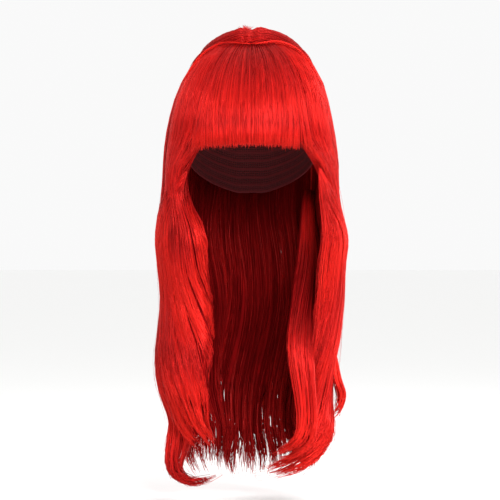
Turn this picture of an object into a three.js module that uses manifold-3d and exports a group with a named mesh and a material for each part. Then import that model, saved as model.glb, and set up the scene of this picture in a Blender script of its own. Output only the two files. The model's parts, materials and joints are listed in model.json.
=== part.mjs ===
// A long wig with a straight fringe, a teased crown and loosely waved curtains of hair.
// Millimetres, +Z up, the face towards -Y, the origin where the top of the head meets the cap.
import * as THREE from "three";
import { mergeVertices } from "three/addons/utils/BufferGeometryUtils.js";
import Module from "manifold-3d";

const wasm = await Module();
wasm.setup();

// Driving dimensions
const HEAD_HALF_BREADTH = 74;
const HEAD_HALF_LENGTH = 95;
const HEAD_HALF_HEIGHT = 100; // from the head's top down to its widest level
const CAP_WALL = 2;
const CAP_FRONT_DROP = 45; // from the head's top down to the cap's edge at the forehead
const CAP_SIDE_DROP = 94;
const CAP_NAPE_DROP = 148;
const HAIR_BODY = 20; // how far the hair stands off the cap
const CROWN_RISE = 24.5; // how far the teased crown stands off the cap
const FALL_LENGTH = 352; // from the head's widest level down to the lowest tip
const FRINGE_DROP = 103.5; // from the head's top down to the fringe's straight cut
const FRINGE_ARCH = 3.5; // how much higher the fringe's middle is cut than its ends
const FRINGE_END_WALL = 5;
const CURTAIN_WALL = 20;
const TIP_WALL = 1.5;
const SEAT_GAP = 0.3; // between pieces that lie against each other
const FACET_SAG = 0.5; // how far a flat facet may cut inside the round surface it stands for
const WIDEST_STAND_OFF = 1.25; // where a free end's across is 1, in HAIR_BODY off the cap
const DEEPEST_STAND_OFF = 0.8; // where its back is 1
const EDGE_FULLNESS = 0.4; // a lock's thickness near its edges, as a share of its middle
const EDGE_ROUNDING = 0.6; // power of the curve by which a lock thins: less is squarer
const SECTION_SPREAD = 0.44; // how far round a free end's oval its faces run, in half turns
const LOCK_WAVE = 4; // how far a boundary between locks sways, in degrees of turn
const LOCK_WAVES = 3.2; // half waves down the fall
const WAVES_FULL_LEVEL = 1.25; // the level by which the boundaries sway fully
const EDGE_FREE_LEVEL = 1.03; // the level by which a curtain's front edge leaves the fringe
const OUTER_SINK_ABOVE = 0.12; // how far a lock's outer face sinks at its edges, at the ridge
const OUTER_SINK_BELOW = 0.5; // and from the head's widest level down
const SINK_FROM_LEVEL = 0.3; // the level from which the sink grows
const INNER_RISE = 0.4; // how far its inner face comes out at its edges, where it hangs free
const HANGS_FREE_LEVEL = 1.2;
const FRINGE_THINS_FROM = 0.75; // the share of the fringe's length where it starts to thin
const GAP_RADIUS = 0.7; // where gaps between locks are measured, as a share of the cap's side

// How finely the surfaces are divided
const LEVELS_OVER_HEAD = 7;
const LEVELS_BELOW_HEAD = 16;
const STEPS_ACROSS_LOCK = 6;
const STEPS_ACROSS_FRINGE = 14;
const STEPS_ROUND_HEAD = 28;
const STEPS_DOWN_CROWN = 8;
const STEPS_DOWN_FRINGE = 9;
const STEPS_DOWN_CAP = 8;
const STEPS_ALONG_SWEEP = 9;
const STEPS_ALONG_FREE_LOCK = 15;

// The hair's outline. A level is 0 at the head's top, 1 at its widest and 2 at the lowest tip.
// The other columns are how far the hair stands out there, as shares of HAIR_BODY.
const OUTLINE = [
  { level: 0.2, left: 1.0, right: 1.15, front: 0.55, back: 1.3 },
  { level: 0.39, left: 0.95, right: 1.15, front: 0.52, back: 1.25 },
  { level: 0.5, left: 0.86, right: 1.0, front: 0.5, back: 1.15 },
  { level: 0.61, left: 0.77, right: 0.93, front: 0.48, back: 1.05 },
  { level: 0.71, left: 0.74, right: 0.75, front: 0.46, back: 0.95 },
  { level: 0.82, left: 0.7, right: 0.67, front: 0.43, back: 0.85 },
  { level: 1.0, left: 0.8, right: 0.77, front: 0.42, back: 0.8 },
  { level: 1.04, left: 0.85, right: 0.85, front: 0.2, back: 0.78 },
  { level: 1.12, left: 0.9, right: 0.8, front: -0.5, back: 0.6 },
  { level: 1.2, left: 1.05, right: 1.02, front: -0.68, back: 0.4 },
  { level: 1.27, left: 1.17, right: 1.24, front: -0.53, back: 0.25 },
  { level: 1.35, left: 1.05, right: 1.1, front: -0.74, back: 0.1 },
  { level: 1.45, left: 0.92, right: 1.05, front: -1.15, back: 0.15 },
  { level: 1.55, left: 1.1, right: 0.9, front: -0.92, back: 0.25 },
  { level: 1.63, left: 1.26, right: 0.7, front: -0.6, back: 0.1 },
  { level: 1.73, left: 1.0, right: 0.5, front: -0.9, back: -0.2 },
  { level: 1.81, left: 0.32, right: 0.42, front: -1.4, back: -0.6 },
  { level: 1.91, left: -0.1, right: 0.15, front: -1.75, back: -1.1 },
  { level: 2.0, left: -0.6, right: -0.3, front: -2.2, back: -1.7 },
];

// The crown's stand-off from its middle, at 0, to its rim, at 1, as shares of CROWN_RISE
const CROWN_FORM = [
  { share: 0.0, left: 1.0, right: 1.0, front: 1.0, back: 1.0 },
  { share: 0.3, left: 1.0, right: 1.05, front: 1.02, back: 1.02 },
  { share: 0.6, left: 0.96, right: 1.06, front: 0.98, back: 1.04 },
  { share: 0.85, left: 0.88, right: 1.0, front: 0.78, back: 0.93 },
  { share: 1.0, left: 0.75, right: 0.89, front: 0.48, back: 0.8 },
];
const CROWN_FURROW = 0.05; // depth of the crown's furrows, as a share of its rise
const CROWN_FURROWS = 5;

// Where the crown ends and the combed hair begins, as a level, at each turn from the front
const RIDGE_LINE = [
  { turn: 0, level: 0.2 },
  { turn: 40, level: 0.24 },
  { turn: 75, level: 0.34 },
  { turn: 110, level: 0.45 },
  { turn: 150, level: 0.6 },
  { turn: 180, level: 0.64 },
];

// The cap's lower edge at each turn from the front, as a blend of its three drops
const CAP_EDGE = [
  { turn: 0, front: 1, side: 0, nape: 0 },
  { turn: 40, front: 0.9, side: 0.1, nape: 0 },
  { turn: 65, front: 0.5, side: 0.5, nape: 0 },
  { turn: 95, front: 0, side: 1, nape: 0 },
  { turn: 130, front: 0, side: 0.35, nape: 0.65 },
  { turn: 165, front: 0, side: 0.01, nape: 0.99 },
  { turn: 180, front: 0, side: 0, nape: 1 },
];

// Where the boundaries between locks lie, in degrees of turn from the front
const FRINGE_LEFT_TURN = -36;
const FRINGE_RIGHT_TURN = 38;
const LEFT_FRONT_REAR_TURN = -80;
const LEFT_SIDE_REAR_TURN = -118;
const LEFT_BACK_REAR_TURN = -158;
const RIGHT_BACK_REAR_TURN = 158;
const RIGHT_SIDE_REAR_TURN = 124;
const RIGHT_FRONT_REAR_TURN = 98;

// How far out the inner corner of each curtain's front edge lies, as a share of the half width at
// that level
const LEFT_CURTAIN_EDGE = [
  { level: 1.0, out: 0.61 },
  { level: 1.03, out: 0.68 },
  { level: 1.09, out: 0.71 },
  { level: 1.14, out: 0.69 },
  { level: 1.17, out: 0.63 },
  { level: 1.21, out: 0.53 },
  { level: 1.25, out: 0.46 },
  { level: 1.32, out: 0.44 },
  { level: 1.39, out: 0.46 },
  { level: 1.43, out: 0.42 },
  { level: 1.51, out: 0.4 },
  { level: 1.58, out: 0.36 },
  { level: 1.65, out: 0.42 },
  { level: 1.72, out: 0.43 },
  { level: 1.77, out: 0.5 },
];
const RIGHT_CURTAIN_EDGE = [
  { level: 1.0, out: 0.66 },
  { level: 1.03, out: 0.68 },
  { level: 1.07, out: 0.74 },
  { level: 1.12, out: 0.8 },
  { level: 1.15, out: 0.81 },
  { level: 1.22, out: 0.75 },
  { level: 1.28, out: 0.71 },
  { level: 1.4, out: 0.69 },
  { level: 1.46, out: 0.67 },
  { level: 1.6, out: 0.68 },
  { level: 1.77, out: 0.66 },
];

// The free ends of the locks. across and back are places, as shares of the hair's half width and
// half depth. face is the turn that the lock's outer face looks towards, and tilt is the lean of
// its path from straight down, towards +X, both in degrees. width and thick are shares of
// CURTAIN_WALL.
const LEFT_FRONT_END = [
  { level: 1.81, across: -0.62, back: -0.45, face: -48, tilt: 3, width: 2.3, thick: 0.95 },
  { level: 1.85, across: -0.53, back: -0.49, face: -38, tilt: 12, width: 1.75, thick: 0.8 },
  { level: 1.885, across: -0.46, back: -0.51, face: -30, tilt: 18, width: 1.2, thick: 0.5 },
];
const LEFT_TAIL = [
  { level: 1.815, across: -0.7, back: -0.12, face: -88, tilt: -6, width: 1.8, thick: 1.1 },
  { level: 1.865, across: -0.745, back: -0.2, face: -84, tilt: -8, width: 1.4, thick: 1.3 },
  { level: 1.915, across: -0.785, back: -0.25, face: -80, tilt: 2, width: 1.05, thick: 1.0 },
  { level: 1.95, across: -0.79, back: -0.27, face: -80, tilt: 24, width: 0.8, thick: 0.75 },
  { level: 1.97, across: -0.72, back: -0.29, face: -80, tilt: 55, width: 0.65, thick: 0.5 },
  { level: 1.985, across: -0.6, back: -0.31, face: -80, tilt: 82, width: 0.5, thick: 0.38 },
  { level: 1.978, across: -0.47, back: -0.32, face: -80, tilt: 101, width: 0.35, thick: 0.27 },
  { level: 1.955, across: -0.31, back: -0.33, face: -80, tilt: 112, width: 0.08, thick: 0.08 },
];
const LEFT_BACK_END = [
  { level: 1.9, across: -0.53, back: 0.48, face: -137, tilt: 3, width: 2.9, thick: 0.9 },
  { level: 1.945, across: -0.49, back: 0.46, face: -137, tilt: 6, width: 2.5, thick: 0.7 },
  { level: 1.985, across: -0.45, back: 0.44, face: -137, tilt: 8, width: 1.7, thick: 0.3 },
];
const RIGHT_FRONT_END = [
  { level: 1.82, across: 0.75, back: -0.24, face: 58, tilt: -4, width: 2.1, thick: 0.95 },
  { level: 1.865, across: 0.675, back: -0.33, face: 40, tilt: -20, width: 1.6, thick: 0.9 },
  { level: 1.9, across: 0.58, back: -0.4, face: 20, tilt: -46, width: 1.25, thick: 0.8 },
  { level: 1.927, across: 0.44, back: -0.43, face: 10, tilt: -64, width: 1.0, thick: 0.6 },
  { level: 1.947, across: 0.26, back: -0.45, face: 4, tilt: -76, width: 0.75, thick: 0.4 },
  { level: 1.957, across: 0.02, back: -0.46, face: 0, tilt: -90, width: 0.2, thick: 0.1 },
];
const RIGHT_SIDE_END = [
  { level: 1.83, across: 0.75, back: 0.24, face: 111, tilt: -4, width: 1.9, thick: 0.85 },
  { level: 1.87, across: 0.71, back: 0.21, face: 108, tilt: -12, width: 1.5, thick: 0.7 },
  { level: 1.91, across: 0.64, back: 0.18, face: 105, tilt: -22, width: 1.0, thick: 0.45 },
  { level: 1.935, across: 0.58, back: 0.16, face: 105, tilt: -30, width: 0.5, thick: 0.2 },
];
const RIGHT_BACK_END = [
  { level: 1.9, across: 0.53, back: 0.48, face: 137, tilt: -3, width: 2.9, thick: 0.9 },
  { level: 1.945, across: 0.49, back: 0.46, face: 137, tilt: -6, width: 2.5, thick: 0.7 },
  { level: 1.975, across: 0.45, back: 0.44, face: 137, tilt: -8, width: 1.7, thick: 0.3 },
];
const BACK_MIDDLE_END = [
  { level: 1.92, across: 0, back: 0.6, face: 180, tilt: 0, width: 3.1, thick: 0.9 },
  { level: 1.965, across: 0, back: 0.57, face: 180, tilt: 0, width: 2.7, thick: 0.7 },
  { level: 1.995, across: 0, back: 0.55, face: 180, tilt: 0, width: 2.0, thick: 0.3 },
];
const RIGHT_INNER_LOCK = [
  { level: 1.12, across: 0.6, back: 0.3, face: 60, tilt: 0, width: 0.8, thick: 0.5 },
  { level: 1.3, across: 0.58, back: 0.1, face: 60, tilt: -4, width: 1.3, thick: 0.8 },
  { level: 1.45, across: 0.53, back: -0.16, face: 40, tilt: -6, width: 1.3, thick: 0.9 },
  { level: 1.58, across: 0.5, back: -0.42, face: 25, tilt: -2, width: 1.45, thick: 0.8 },
  { level: 1.7, across: 0.54, back: -0.5, face: 25, tilt: 6, width: 1.15, thick: 0.8 },
  { level: 1.79, across: 0.57, back: -0.53, face: 20, tilt: 4, width: 1.0, thick: 0.75 },
  { level: 1.845, across: 0.55, back: -0.55, face: 10, tilt: -18, width: 0.95, thick: 0.65 },
  { level: 1.878, across: 0.46, back: -0.56, face: 0, tilt: -50, width: 0.85, thick: 0.5 },
  { level: 1.893, across: 0.34, back: -0.565, face: 0, tilt: -70, width: 0.7, thick: 0.35 },
  { level: 1.9, across: 0.18, back: -0.57, face: 0, tilt: -80, width: 0.2, thick: 0.1 },
];
const RIGHT_OUTER_CURL = [
  { level: 1.61, across: 0.86, back: -0.1, face: 70, tilt: 0, width: 0.4, thick: 0.25 },
  { level: 1.68, across: 0.885, back: -0.12, face: 70, tilt: 6, width: 0.8, thick: 0.45 },
  { level: 1.73, across: 0.93, back: -0.13, face: 70, tilt: 3, width: 0.8, thick: 0.5 },
  { level: 1.77, across: 0.9, back: -0.14, face: 70, tilt: -22, width: 0.6, thick: 0.4 },
  { level: 1.795, across: 0.84, back: -0.15, face: 70, tilt: -48, width: 0.15, thick: 0.1 },
];

// Places worked out from the driving dimensions
const CAP_OUTSIDE = {
  side: HEAD_HALF_BREADTH + CAP_WALL,
  length: HEAD_HALF_LENGTH + CAP_WALL,
  height: HEAD_HALF_HEIGHT + CAP_WALL,
};
const CAP_SEAT = SEAT_GAP + FACET_SAG;
const GROWN_BY = 0.95 * SEAT_GAP; // so that a cut leaves alone what already keeps its gap
const HAIR_HALF_WIDTH = CAP_OUTSIDE.side + WIDEST_STAND_OFF * HAIR_BODY;
const HAIR_HALF_DEPTH = CAP_OUTSIDE.length + DEEPEST_STAND_OFF * HAIR_BODY;

const radians = (degrees) => (degrees * Math.PI) / 180;
const mix = (a, b, t) => a + (b - a) * t;

// The value of a column between two rows of a table, on a smooth curve through the rows.
function read(rows, key, column, at) {
  const last = rows.length - 1;
  if (at <= rows[0][key]) return rows[0][column];
  if (at >= rows[last][key]) return rows[last][column];
  const i = rows.findIndex((row) => row[key] > at) - 1;
  const slope = (j) => {
    const before = rows[Math.max(j - 1, 0)];
    const after = rows[Math.min(j + 1, last)];
    return (after[column] - before[column]) / (after[key] - before[key]);
  };
  const span = rows[i + 1][key] - rows[i][key];
  const t = (at - rows[i][key]) / span;
  const blend = t * t * (3 - 2 * t);
  const leave = t * (1 - t) * (1 - t) * span * slope(i);
  const arrive = t * t * (1 - t) * span * slope(i + 1);
  return mix(rows[i][column], rows[i + 1][column], blend) + leave - arrive;
}

// A point that stands off the cap's outside at a turn from the front and a level.
// standOff has a distance in millimetres for the left, right, front and back.
function pointAt(turn, level, standOff) {
  const angle = radians(turn);
  const side = angle < 0 ? standOff.left : standOff.right;
  const along = Math.cos(angle) > 0 ? standOff.front : standOff.back;
  const polar = (Math.min(level, 1) * Math.PI) / 2;
  const round = level < 1 ? Math.sin(polar) : 1;
  const up = side * Math.sin(angle) ** 2 + along * Math.cos(angle) ** 2;
  const fall = Math.max(level - 1, 0) * FALL_LENGTH;
  return new THREE.Vector3(
    (CAP_OUTSIDE.side + side) * round * Math.sin(angle),
    -(CAP_OUTSIDE.length + along) * round * Math.cos(angle),
    (CAP_OUTSIDE.height + up) * Math.cos(polar) - HEAD_HALF_HEIGHT - fall,
  );
}

// The same distance all round.
const evenly = (distance) => ({
  left: distance,
  right: distance,
  front: distance,
  back: distance,
});

// How far the hair's outside stands off the cap at a level.
function outlineAt(level) {
  const column = (name) => HAIR_BODY * read(OUTLINE, "level", name, level);
  return {
    left: column("left"),
    right: column("right"),
    front: column("front"),
    back: column("back"),
  };
}

// The hair's inner face: on the cap over the head, and one curtain's wall inside the outline below.
function insideAt(level, wall) {
  const outline = outlineAt(level);
  const napeLevel = 1 + (CAP_NAPE_DROP - HEAD_HALF_HEIGHT) / FALL_LENGTH;
  const coversCap = level <= napeLevel;
  const inner = (name, onCap) => Math.max(outline[name] - wall, onCap ? CAP_SEAT : -Infinity);
  return {
    left: inner("left", coversCap),
    right: inner("right", coversCap),
    front: inner("front", level <= 1),
    back: inner("back", coversCap),
  };
}

// A closed solid from two grids of points, the outer and the inner face, row by row from the top.
// A closed ring's last column meets its first.
function solidBetween(outer, inner, ring = false) {
  const rows = outer.length;
  const columns = outer[0].length;
  const positions = [];
  const quad = (a, b, c, d) => {
    for (const p of [a, b, c, a, c, d]) positions.push(p.x, p.y, p.z);
  };
  for (let i = 0; i < rows - 1; i++) {
    for (let j = 0; j < columns - 1; j++) {
      quad(outer[i][j], outer[i + 1][j], outer[i + 1][j + 1], outer[i][j + 1]);
      quad(inner[i][j], inner[i][j + 1], inner[i + 1][j + 1], inner[i + 1][j]);
    }
    if (!ring) {
      const end = columns - 1;
      quad(outer[i][0], inner[i][0], inner[i + 1][0], outer[i + 1][0]);
      quad(outer[i][end], outer[i + 1][end], inner[i + 1][end], inner[i][end]);
    }
  }
  const bottom = rows - 1;
  for (let j = 0; j < columns - 1; j++) {
    quad(outer[0][j], outer[0][j + 1], inner[0][j + 1], inner[0][j]);
    quad(outer[bottom][j], inner[bottom][j], inner[bottom][j + 1], outer[bottom][j + 1]);
  }
  return solidFrom(positions);
}

// A manifold solid from loose triangles, without the ones that have no area.
function solidFrom(positions) {
  const loose = new THREE.BufferGeometry();
  loose.setAttribute("position", new THREE.Float32BufferAttribute(positions, 3));
  const merged = mergeVertices(loose, 1e-3);
  const corners = merged.index.array;
  const kept = [];
  for (let i = 0; i < corners.length; i += 3) {
    const [a, b, c] = [corners[i], corners[i + 1], corners[i + 2]];
    if (a !== b && b !== c && c !== a) kept.push(a, b, c);
  }
  const solid = new wasm.Manifold(
    new wasm.Mesh({
      numProp: 3,
      vertProperties: merged.attributes.position.array,
      triVerts: new Uint32Array(kept),
    }),
  );
  return solid;
}

// How full a lock's section is from one edge, at 0, to the other, at 1.
const fullness = (u) => mix(EDGE_FULLNESS, 1, Math.sin(Math.PI * u) ** EDGE_ROUNDING);

// Where a lock's inner face lies between the hair's outside, at 0, and its inside, at 1.
function innerShare(pull, level) {
  return 1 - pull * INNER_RISE * THREE.MathUtils.smoothstep(level, 1, HANGS_FREE_LEVEL);
}

// Stand-offs part of the way from one set to another, moved out by extra.
function standOffBetween(outline, inside, towards, extra) {
  const column = (name) => mix(outline[name], inside[name], towards) + extra;
  return {
    left: column("left"),
    right: column("right"),
    front: column("front"),
    back: column("back"),
  };
}

// The level of the ridge line at a turn.
function ridgeLevel(turn) {
  const fromFront = Math.min(Math.abs(turn), 360 - Math.abs(turn));
  return read(RIDGE_LINE, "turn", "level", fromFront);
}

// The seat gap as a difference in level over the head, and a distance as degrees of turn.
const gapAsLevel = SEAT_GAP / (0.5 * Math.PI * CAP_OUTSIDE.height);
const gapRadius = GAP_RADIUS * CAP_OUTSIDE.side;
const asTurn = (distance) => THREE.MathUtils.radToDeg(distance / gapRadius);

// One section of a curtain lock. levelAt gives the level at a turn.
function curtainSection(levelAt, fromTurn, toTurn, grow) {
  const outer = [];
  const inner = [];
  for (let j = 0; j <= STEPS_ACROSS_LOCK; j++) {
    const u = j / STEPS_ACROSS_LOCK;
    const turn = mix(fromTurn, toTurn, u);
    const level = levelAt(turn);
    const outline = outlineAt(level);
    const inside = insideAt(level, CURTAIN_WALL);
    const pull = 1 - fullness(u);
    const fromRidge = THREE.MathUtils.smoothstep(level, SINK_FROM_LEVEL, 1);
    const outerPull = pull * mix(OUTER_SINK_ABOVE, OUTER_SINK_BELOW, fromRidge);
    const innerPull = innerShare(pull, level);
    outer.push(pointAt(turn, level, standOffBetween(outline, inside, outerPull, grow)));
    inner.push(pointAt(turn, level, standOffBetween(outline, inside, innerPull, -grow)));
  }
  return { outer, inner };
}

// One section of a free end: a rounded band square to the lock's path. towards is 1 where its
// columns run round the head towards +X from the front, and -1 the other way.
function sweptSection(row, towards, grow) {
  const centre = new THREE.Vector3(
    row.across * HAIR_HALF_WIDTH,
    row.back * HAIR_HALF_DEPTH,
    -HEAD_HALF_HEIGHT - (row.level - 1) * FALL_LENGTH,
  );
  const face = radians(row.face);
  const lean = new THREE.Matrix4().makeRotationY(-radians(row.tilt));
  const outwards = new THREE.Vector3(Math.sin(face), -Math.cos(face), 0).applyMatrix4(lean);
  const along = new THREE.Vector3(Math.cos(face), Math.sin(face), 0).applyMatrix4(lean);
  const halfWidth = Math.max(row.width * CURTAIN_WALL, TIP_WALL) / 2 + grow;
  const halfThick = Math.max(row.thick * CURTAIN_WALL, TIP_WALL) / 2 + grow;
  const outer = [];
  const inner = [];
  for (let j = 0; j <= STEPS_ACROSS_LOCK; j++) {
    const u = j / STEPS_ACROSS_LOCK;
    const spread = SECTION_SPREAD * Math.PI * (2 * u - 1) * towards;
    const middle = centre.clone().addScaledVector(along, halfWidth * Math.sin(spread));
    outer.push(middle.clone().addScaledVector(outwards, halfThick * Math.cos(spread)));
    inner.push(middle.clone().addScaledVector(outwards, -halfThick * Math.cos(spread)));
  }
  return { outer, inner };
}

// The values of a free end's table at a share of its way.
function rowAlong(rows, share) {
  const numbered = rows.map((row, i) => ({ ...row, order: i }));
  const row = {};
  for (const column of ["level", "across", "back", "face", "tilt", "width", "thick"]) {
    row[column] = read(numbered, "order", column, share * (rows.length - 1));
  }
  return row;
}

// A solid from sections, with its faces out whichever way round they run.
function loft(sections) {
  const outer = sections.map((section) => section.outer);
  const inner = sections.map((section) => section.inner);
  const solid = solidBetween(outer, inner);
  if (solid.volume() > 0) return solid;
  const turned = (rows) => rows.map((row) => [...row].reverse());
  return solidBetween(turned(outer), turned(inner));
}

// A lock that hangs in the curtain from the ridge line to lastLevel, and then follows the rows of
// its free end. frontTurn and rearTurn give its two edges at a level.
function curtainLock({ frontTurn, rearTurn, lastLevel, end }, grow = 0) {
  const towards = Math.sign(rearTurn(1) - frontTurn(1));
  const inset = towards * asTurn(SEAT_GAP / 2 - grow);
  const section = (levelAt, level) =>
    curtainSection(levelAt, frontTurn(level) + inset, rearTurn(level) - inset, grow);
  const sections = [];
  for (let i = 0; i < LEVELS_OVER_HEAD; i++) {
    const share = i / LEVELS_OVER_HEAD;
    const top = gapAsLevel * (1 - grow / SEAT_GAP);
    sections.push(section((turn) => mix(ridgeLevel(turn) + top, 1, share), 1));
  }
  for (let i = 0; i <= LEVELS_BELOW_HEAD; i++) {
    const level = mix(1, lastLevel, i / LEVELS_BELOW_HEAD);
    sections.push(section(() => level, level));
  }
  for (let i = 1; i <= STEPS_ALONG_SWEEP; i++) {
    const row = rowAlong(end, (i - 1) / (STEPS_ALONG_SWEEP - 1));
    sections.push(sweptSection(row, towards, grow));
  }
  return loft(sections);
}

// A lock that hangs free of the curtain along its whole way.
function freeLock(rows) {
  const sections = [];
  for (let i = 0; i <= STEPS_ALONG_FREE_LOCK; i++) {
    const row = rowAlong(rows, i / STEPS_ALONG_FREE_LOCK);
    sections.push(sweptSection(row, 1, 0));
  }
  return loft(sections);
}

// The level at which a point that stands up off the cap lies at a drop from the head's top.
function levelAtDrop(drop, up) {
  if (drop > HEAD_HALF_HEIGHT) return 1 + (drop - HEAD_HALF_HEIGHT) / FALL_LENGTH;
  return Math.acos((HEAD_HALF_HEIGHT - drop) / (CAP_OUTSIDE.height + up)) / (Math.PI / 2);
}

// The drop of the cap's lower edge at a turn.
function capEdgeDrop(turn) {
  const share = (name) => read(CAP_EDGE, "turn", name, turn > 180 ? 360 - turn : turn);
  return (
    share("front") * CAP_FRONT_DROP + share("side") * CAP_SIDE_DROP + share("nape") * CAP_NAPE_DROP
  );
}

// The hollow foundation: a dome of one wall, open below, whose lower edge follows CAP_EDGE.
function makeCap() {
  const outer = [];
  const inner = [];
  for (let i = 0; i <= STEPS_DOWN_CAP; i++) {
    const outerRow = [];
    const innerRow = [];
    for (let j = 0; j <= STEPS_ROUND_HEAD; j++) {
      const turn = (360 * (j % STEPS_ROUND_HEAD)) / STEPS_ROUND_HEAD;
      const angle = radians(turn);
      const edge = Math.acos((HEAD_HALF_HEIGHT - capEdgeDrop(turn)) / CAP_OUTSIDE.height);
      const polar = (edge * i) / STEPS_DOWN_CAP;
      const place = (wall) =>
        new THREE.Vector3(
          (HEAD_HALF_BREADTH + wall) * Math.sin(polar) * Math.sin(angle),
          -(HEAD_HALF_LENGTH + wall) * Math.sin(polar) * Math.cos(angle),
          (HEAD_HALF_HEIGHT + wall) * Math.cos(polar) - HEAD_HALF_HEIGHT,
        );
      outerRow.push(place(CAP_WALL));
      innerRow.push(place(0));
    }
    outer.push(outerRow);
    inner.push(innerRow);
  }
  return solidBetween(outer, inner, true);
}

// The teased crown: a raised dome of hair from the head's top down to the ridge line.
function makeCrown(grow = 0) {
  const outer = [];
  const inner = [];
  for (let i = 0; i <= STEPS_DOWN_CROWN; i++) {
    const share = i / STEPS_DOWN_CROWN;
    const outerRow = [];
    const innerRow = [];
    for (let j = 0; j <= STEPS_ROUND_HEAD; j++) {
      const around = (360 * (j % STEPS_ROUND_HEAD)) / STEPS_ROUND_HEAD;
      const turn = around > 180 ? around - 360 : around;
      const ripple = Math.cos(radians(CROWN_FURROWS * turn)) * Math.sin(Math.PI * share);
      const furrow = 1 - CROWN_FURROW * ripple;
      const rise = (name) => CROWN_RISE * furrow * read(CROWN_FORM, "share", name, share) + grow;
      const standOff = {
        left: rise("left"),
        right: rise("right"),
        front: rise("front"),
        back: rise("back"),
      };
      const rim = ridgeLevel(turn) - gapAsLevel * (1 - grow / SEAT_GAP);
      outerRow.push(pointAt(turn, rim * share, standOff));
      innerRow.push(pointAt(turn, rim * share, evenly(CAP_SEAT - grow)));
    }
    outer.push(outerRow);
    inner.push(innerRow);
  }
  return solidBetween(outer, inner, true);
}

// The fringe: a shell over the forehead from the ridge line down to its straight cut.
function makeFringe() {
  const outer = [];
  const inner = [];
  const inset = asTurn(SEAT_GAP);
  const middleTurn = 0.5 * (FRINGE_LEFT_TURN + FRINGE_RIGHT_TURN);
  const halfTurn = 0.5 * (FRINGE_RIGHT_TURN - FRINGE_LEFT_TURN) - inset;
  for (let i = 0; i <= STEPS_DOWN_FRINGE; i++) {
    const share = i / STEPS_DOWN_FRINGE;
    const outerRow = [];
    const innerRow = [];
    for (let j = 0; j <= STEPS_ACROSS_FRINGE; j++) {
      const u = (2 * j) / STEPS_ACROSS_FRINGE - 1;
      const turn = middleTurn + u * halfTurn;
      const drop = FRINGE_DROP - FRINGE_ARCH * (1 - u * u);
      const lastLevel = levelAtDrop(drop, outlineAt(1).front);
      const level = mix(ridgeLevel(turn) + gapAsLevel, lastLevel, share);
      const endIn = THREE.MathUtils.smoothstep(share, FRINGE_THINS_FROM, 1);
      const outline = outlineAt(level);
      const atEnd = evenly(CAP_SEAT + FRINGE_END_WALL);
      outerRow.push(pointAt(turn, level, standOffBetween(outline, atEnd, endIn, 0)));
      innerRow.push(pointAt(turn, level, evenly(CAP_SEAT)));
    }
    outer.push(outerRow);
    inner.push(innerRow);
  }
  return solidBetween(outer, inner);
}

// A boundary between two locks: straight over the head, gently waved below it.
function boundary(turn) {
  return (level) => {
    const below = THREE.MathUtils.smoothstep(level, 1, WAVES_FULL_LEVEL);
    return turn + LOCK_WAVE * below * Math.sin(LOCK_WAVES * Math.PI * (level - 1));
  };
}

// A curtain's front edge: beside the fringe over the head, and as its table says below.
function curtainEdge(rows, fringeTurn) {
  const side = fringeTurn < 0 ? "left" : "right";
  return (level) => {
    if (level <= 1) return fringeTurn;
    const outline = outlineAt(level)[side];
    const inside = insideAt(level, CURTAIN_WALL)[side];
    const inner = mix(outline, inside, innerShare(1 - EDGE_FULLNESS, level));
    const out = read(rows, "level", "out", level) * (CAP_OUTSIDE.side + outline);
    const sine = out / (CAP_OUTSIDE.side + inner);
    const turn = Math.sign(fringeTurn) * THREE.MathUtils.radToDeg(Math.asin(sine));
    return mix(fringeTurn, turn, THREE.MathUtils.smoothstep(level, 1, EDGE_FREE_LEVEL));
  };
}

const LOCKS = {
  left_front_lock: {
    frontTurn: curtainEdge(LEFT_CURTAIN_EDGE, FRINGE_LEFT_TURN),
    rearTurn: boundary(LEFT_FRONT_REAR_TURN),
    lastLevel: 1.77,
    end: LEFT_FRONT_END,
  },
  left_side_lock: {
    frontTurn: boundary(LEFT_FRONT_REAR_TURN),
    rearTurn: boundary(LEFT_SIDE_REAR_TURN),
    lastLevel: 1.76,
    end: LEFT_TAIL,
  },
  left_back_lock: {
    frontTurn: boundary(LEFT_SIDE_REAR_TURN),
    rearTurn: boundary(LEFT_BACK_REAR_TURN),
    lastLevel: 1.86,
    end: LEFT_BACK_END,
  },
  right_front_lock: {
    frontTurn: curtainEdge(RIGHT_CURTAIN_EDGE, FRINGE_RIGHT_TURN),
    rearTurn: boundary(RIGHT_FRONT_REAR_TURN),
    lastLevel: 1.77,
    end: RIGHT_FRONT_END,
  },
  right_side_lock: {
    frontTurn: boundary(RIGHT_FRONT_REAR_TURN),
    rearTurn: boundary(RIGHT_SIDE_REAR_TURN),
    lastLevel: 1.78,
    end: RIGHT_SIDE_END,
  },
  right_back_lock: {
    frontTurn: boundary(RIGHT_SIDE_REAR_TURN),
    rearTurn: boundary(RIGHT_BACK_REAR_TURN),
    lastLevel: 1.86,
    end: RIGHT_BACK_END,
  },
  // The middle of the back runs through the turn of 180 degrees, so its left edge is past it.
  back_middle_lock: {
    frontTurn: boundary(RIGHT_BACK_REAR_TURN),
    rearTurn: (level) => 360 + boundary(LEFT_BACK_REAR_TURN)(level),
    lastLevel: 1.88,
    end: BACK_MIDDLE_END,
  },
};

// The largest body of a solid that a cut may have left in several.
function largestBody(solid) {
  const bodies = solid.decompose();
  return bodies.reduce((most, body) => (body.volume() > most.volume() ? body : most));
}

// A solid cut back so that it keeps the seat gap to its neighbours, which are given grown by it.
function keptClear(solid, grownNeighbours) {
  const cut = grownNeighbours.reduce((left, neighbour) => left.subtract(neighbour), solid);
  return largestBody(cut);
}

const hair = new THREE.MeshStandardMaterial({ color: 0xd4202a, roughness: 0.42, metalness: 0 });
const net = new THREE.MeshStandardMaterial({ color: 0x5a1216, roughness: 0.85, metalness: 0 });

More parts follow.
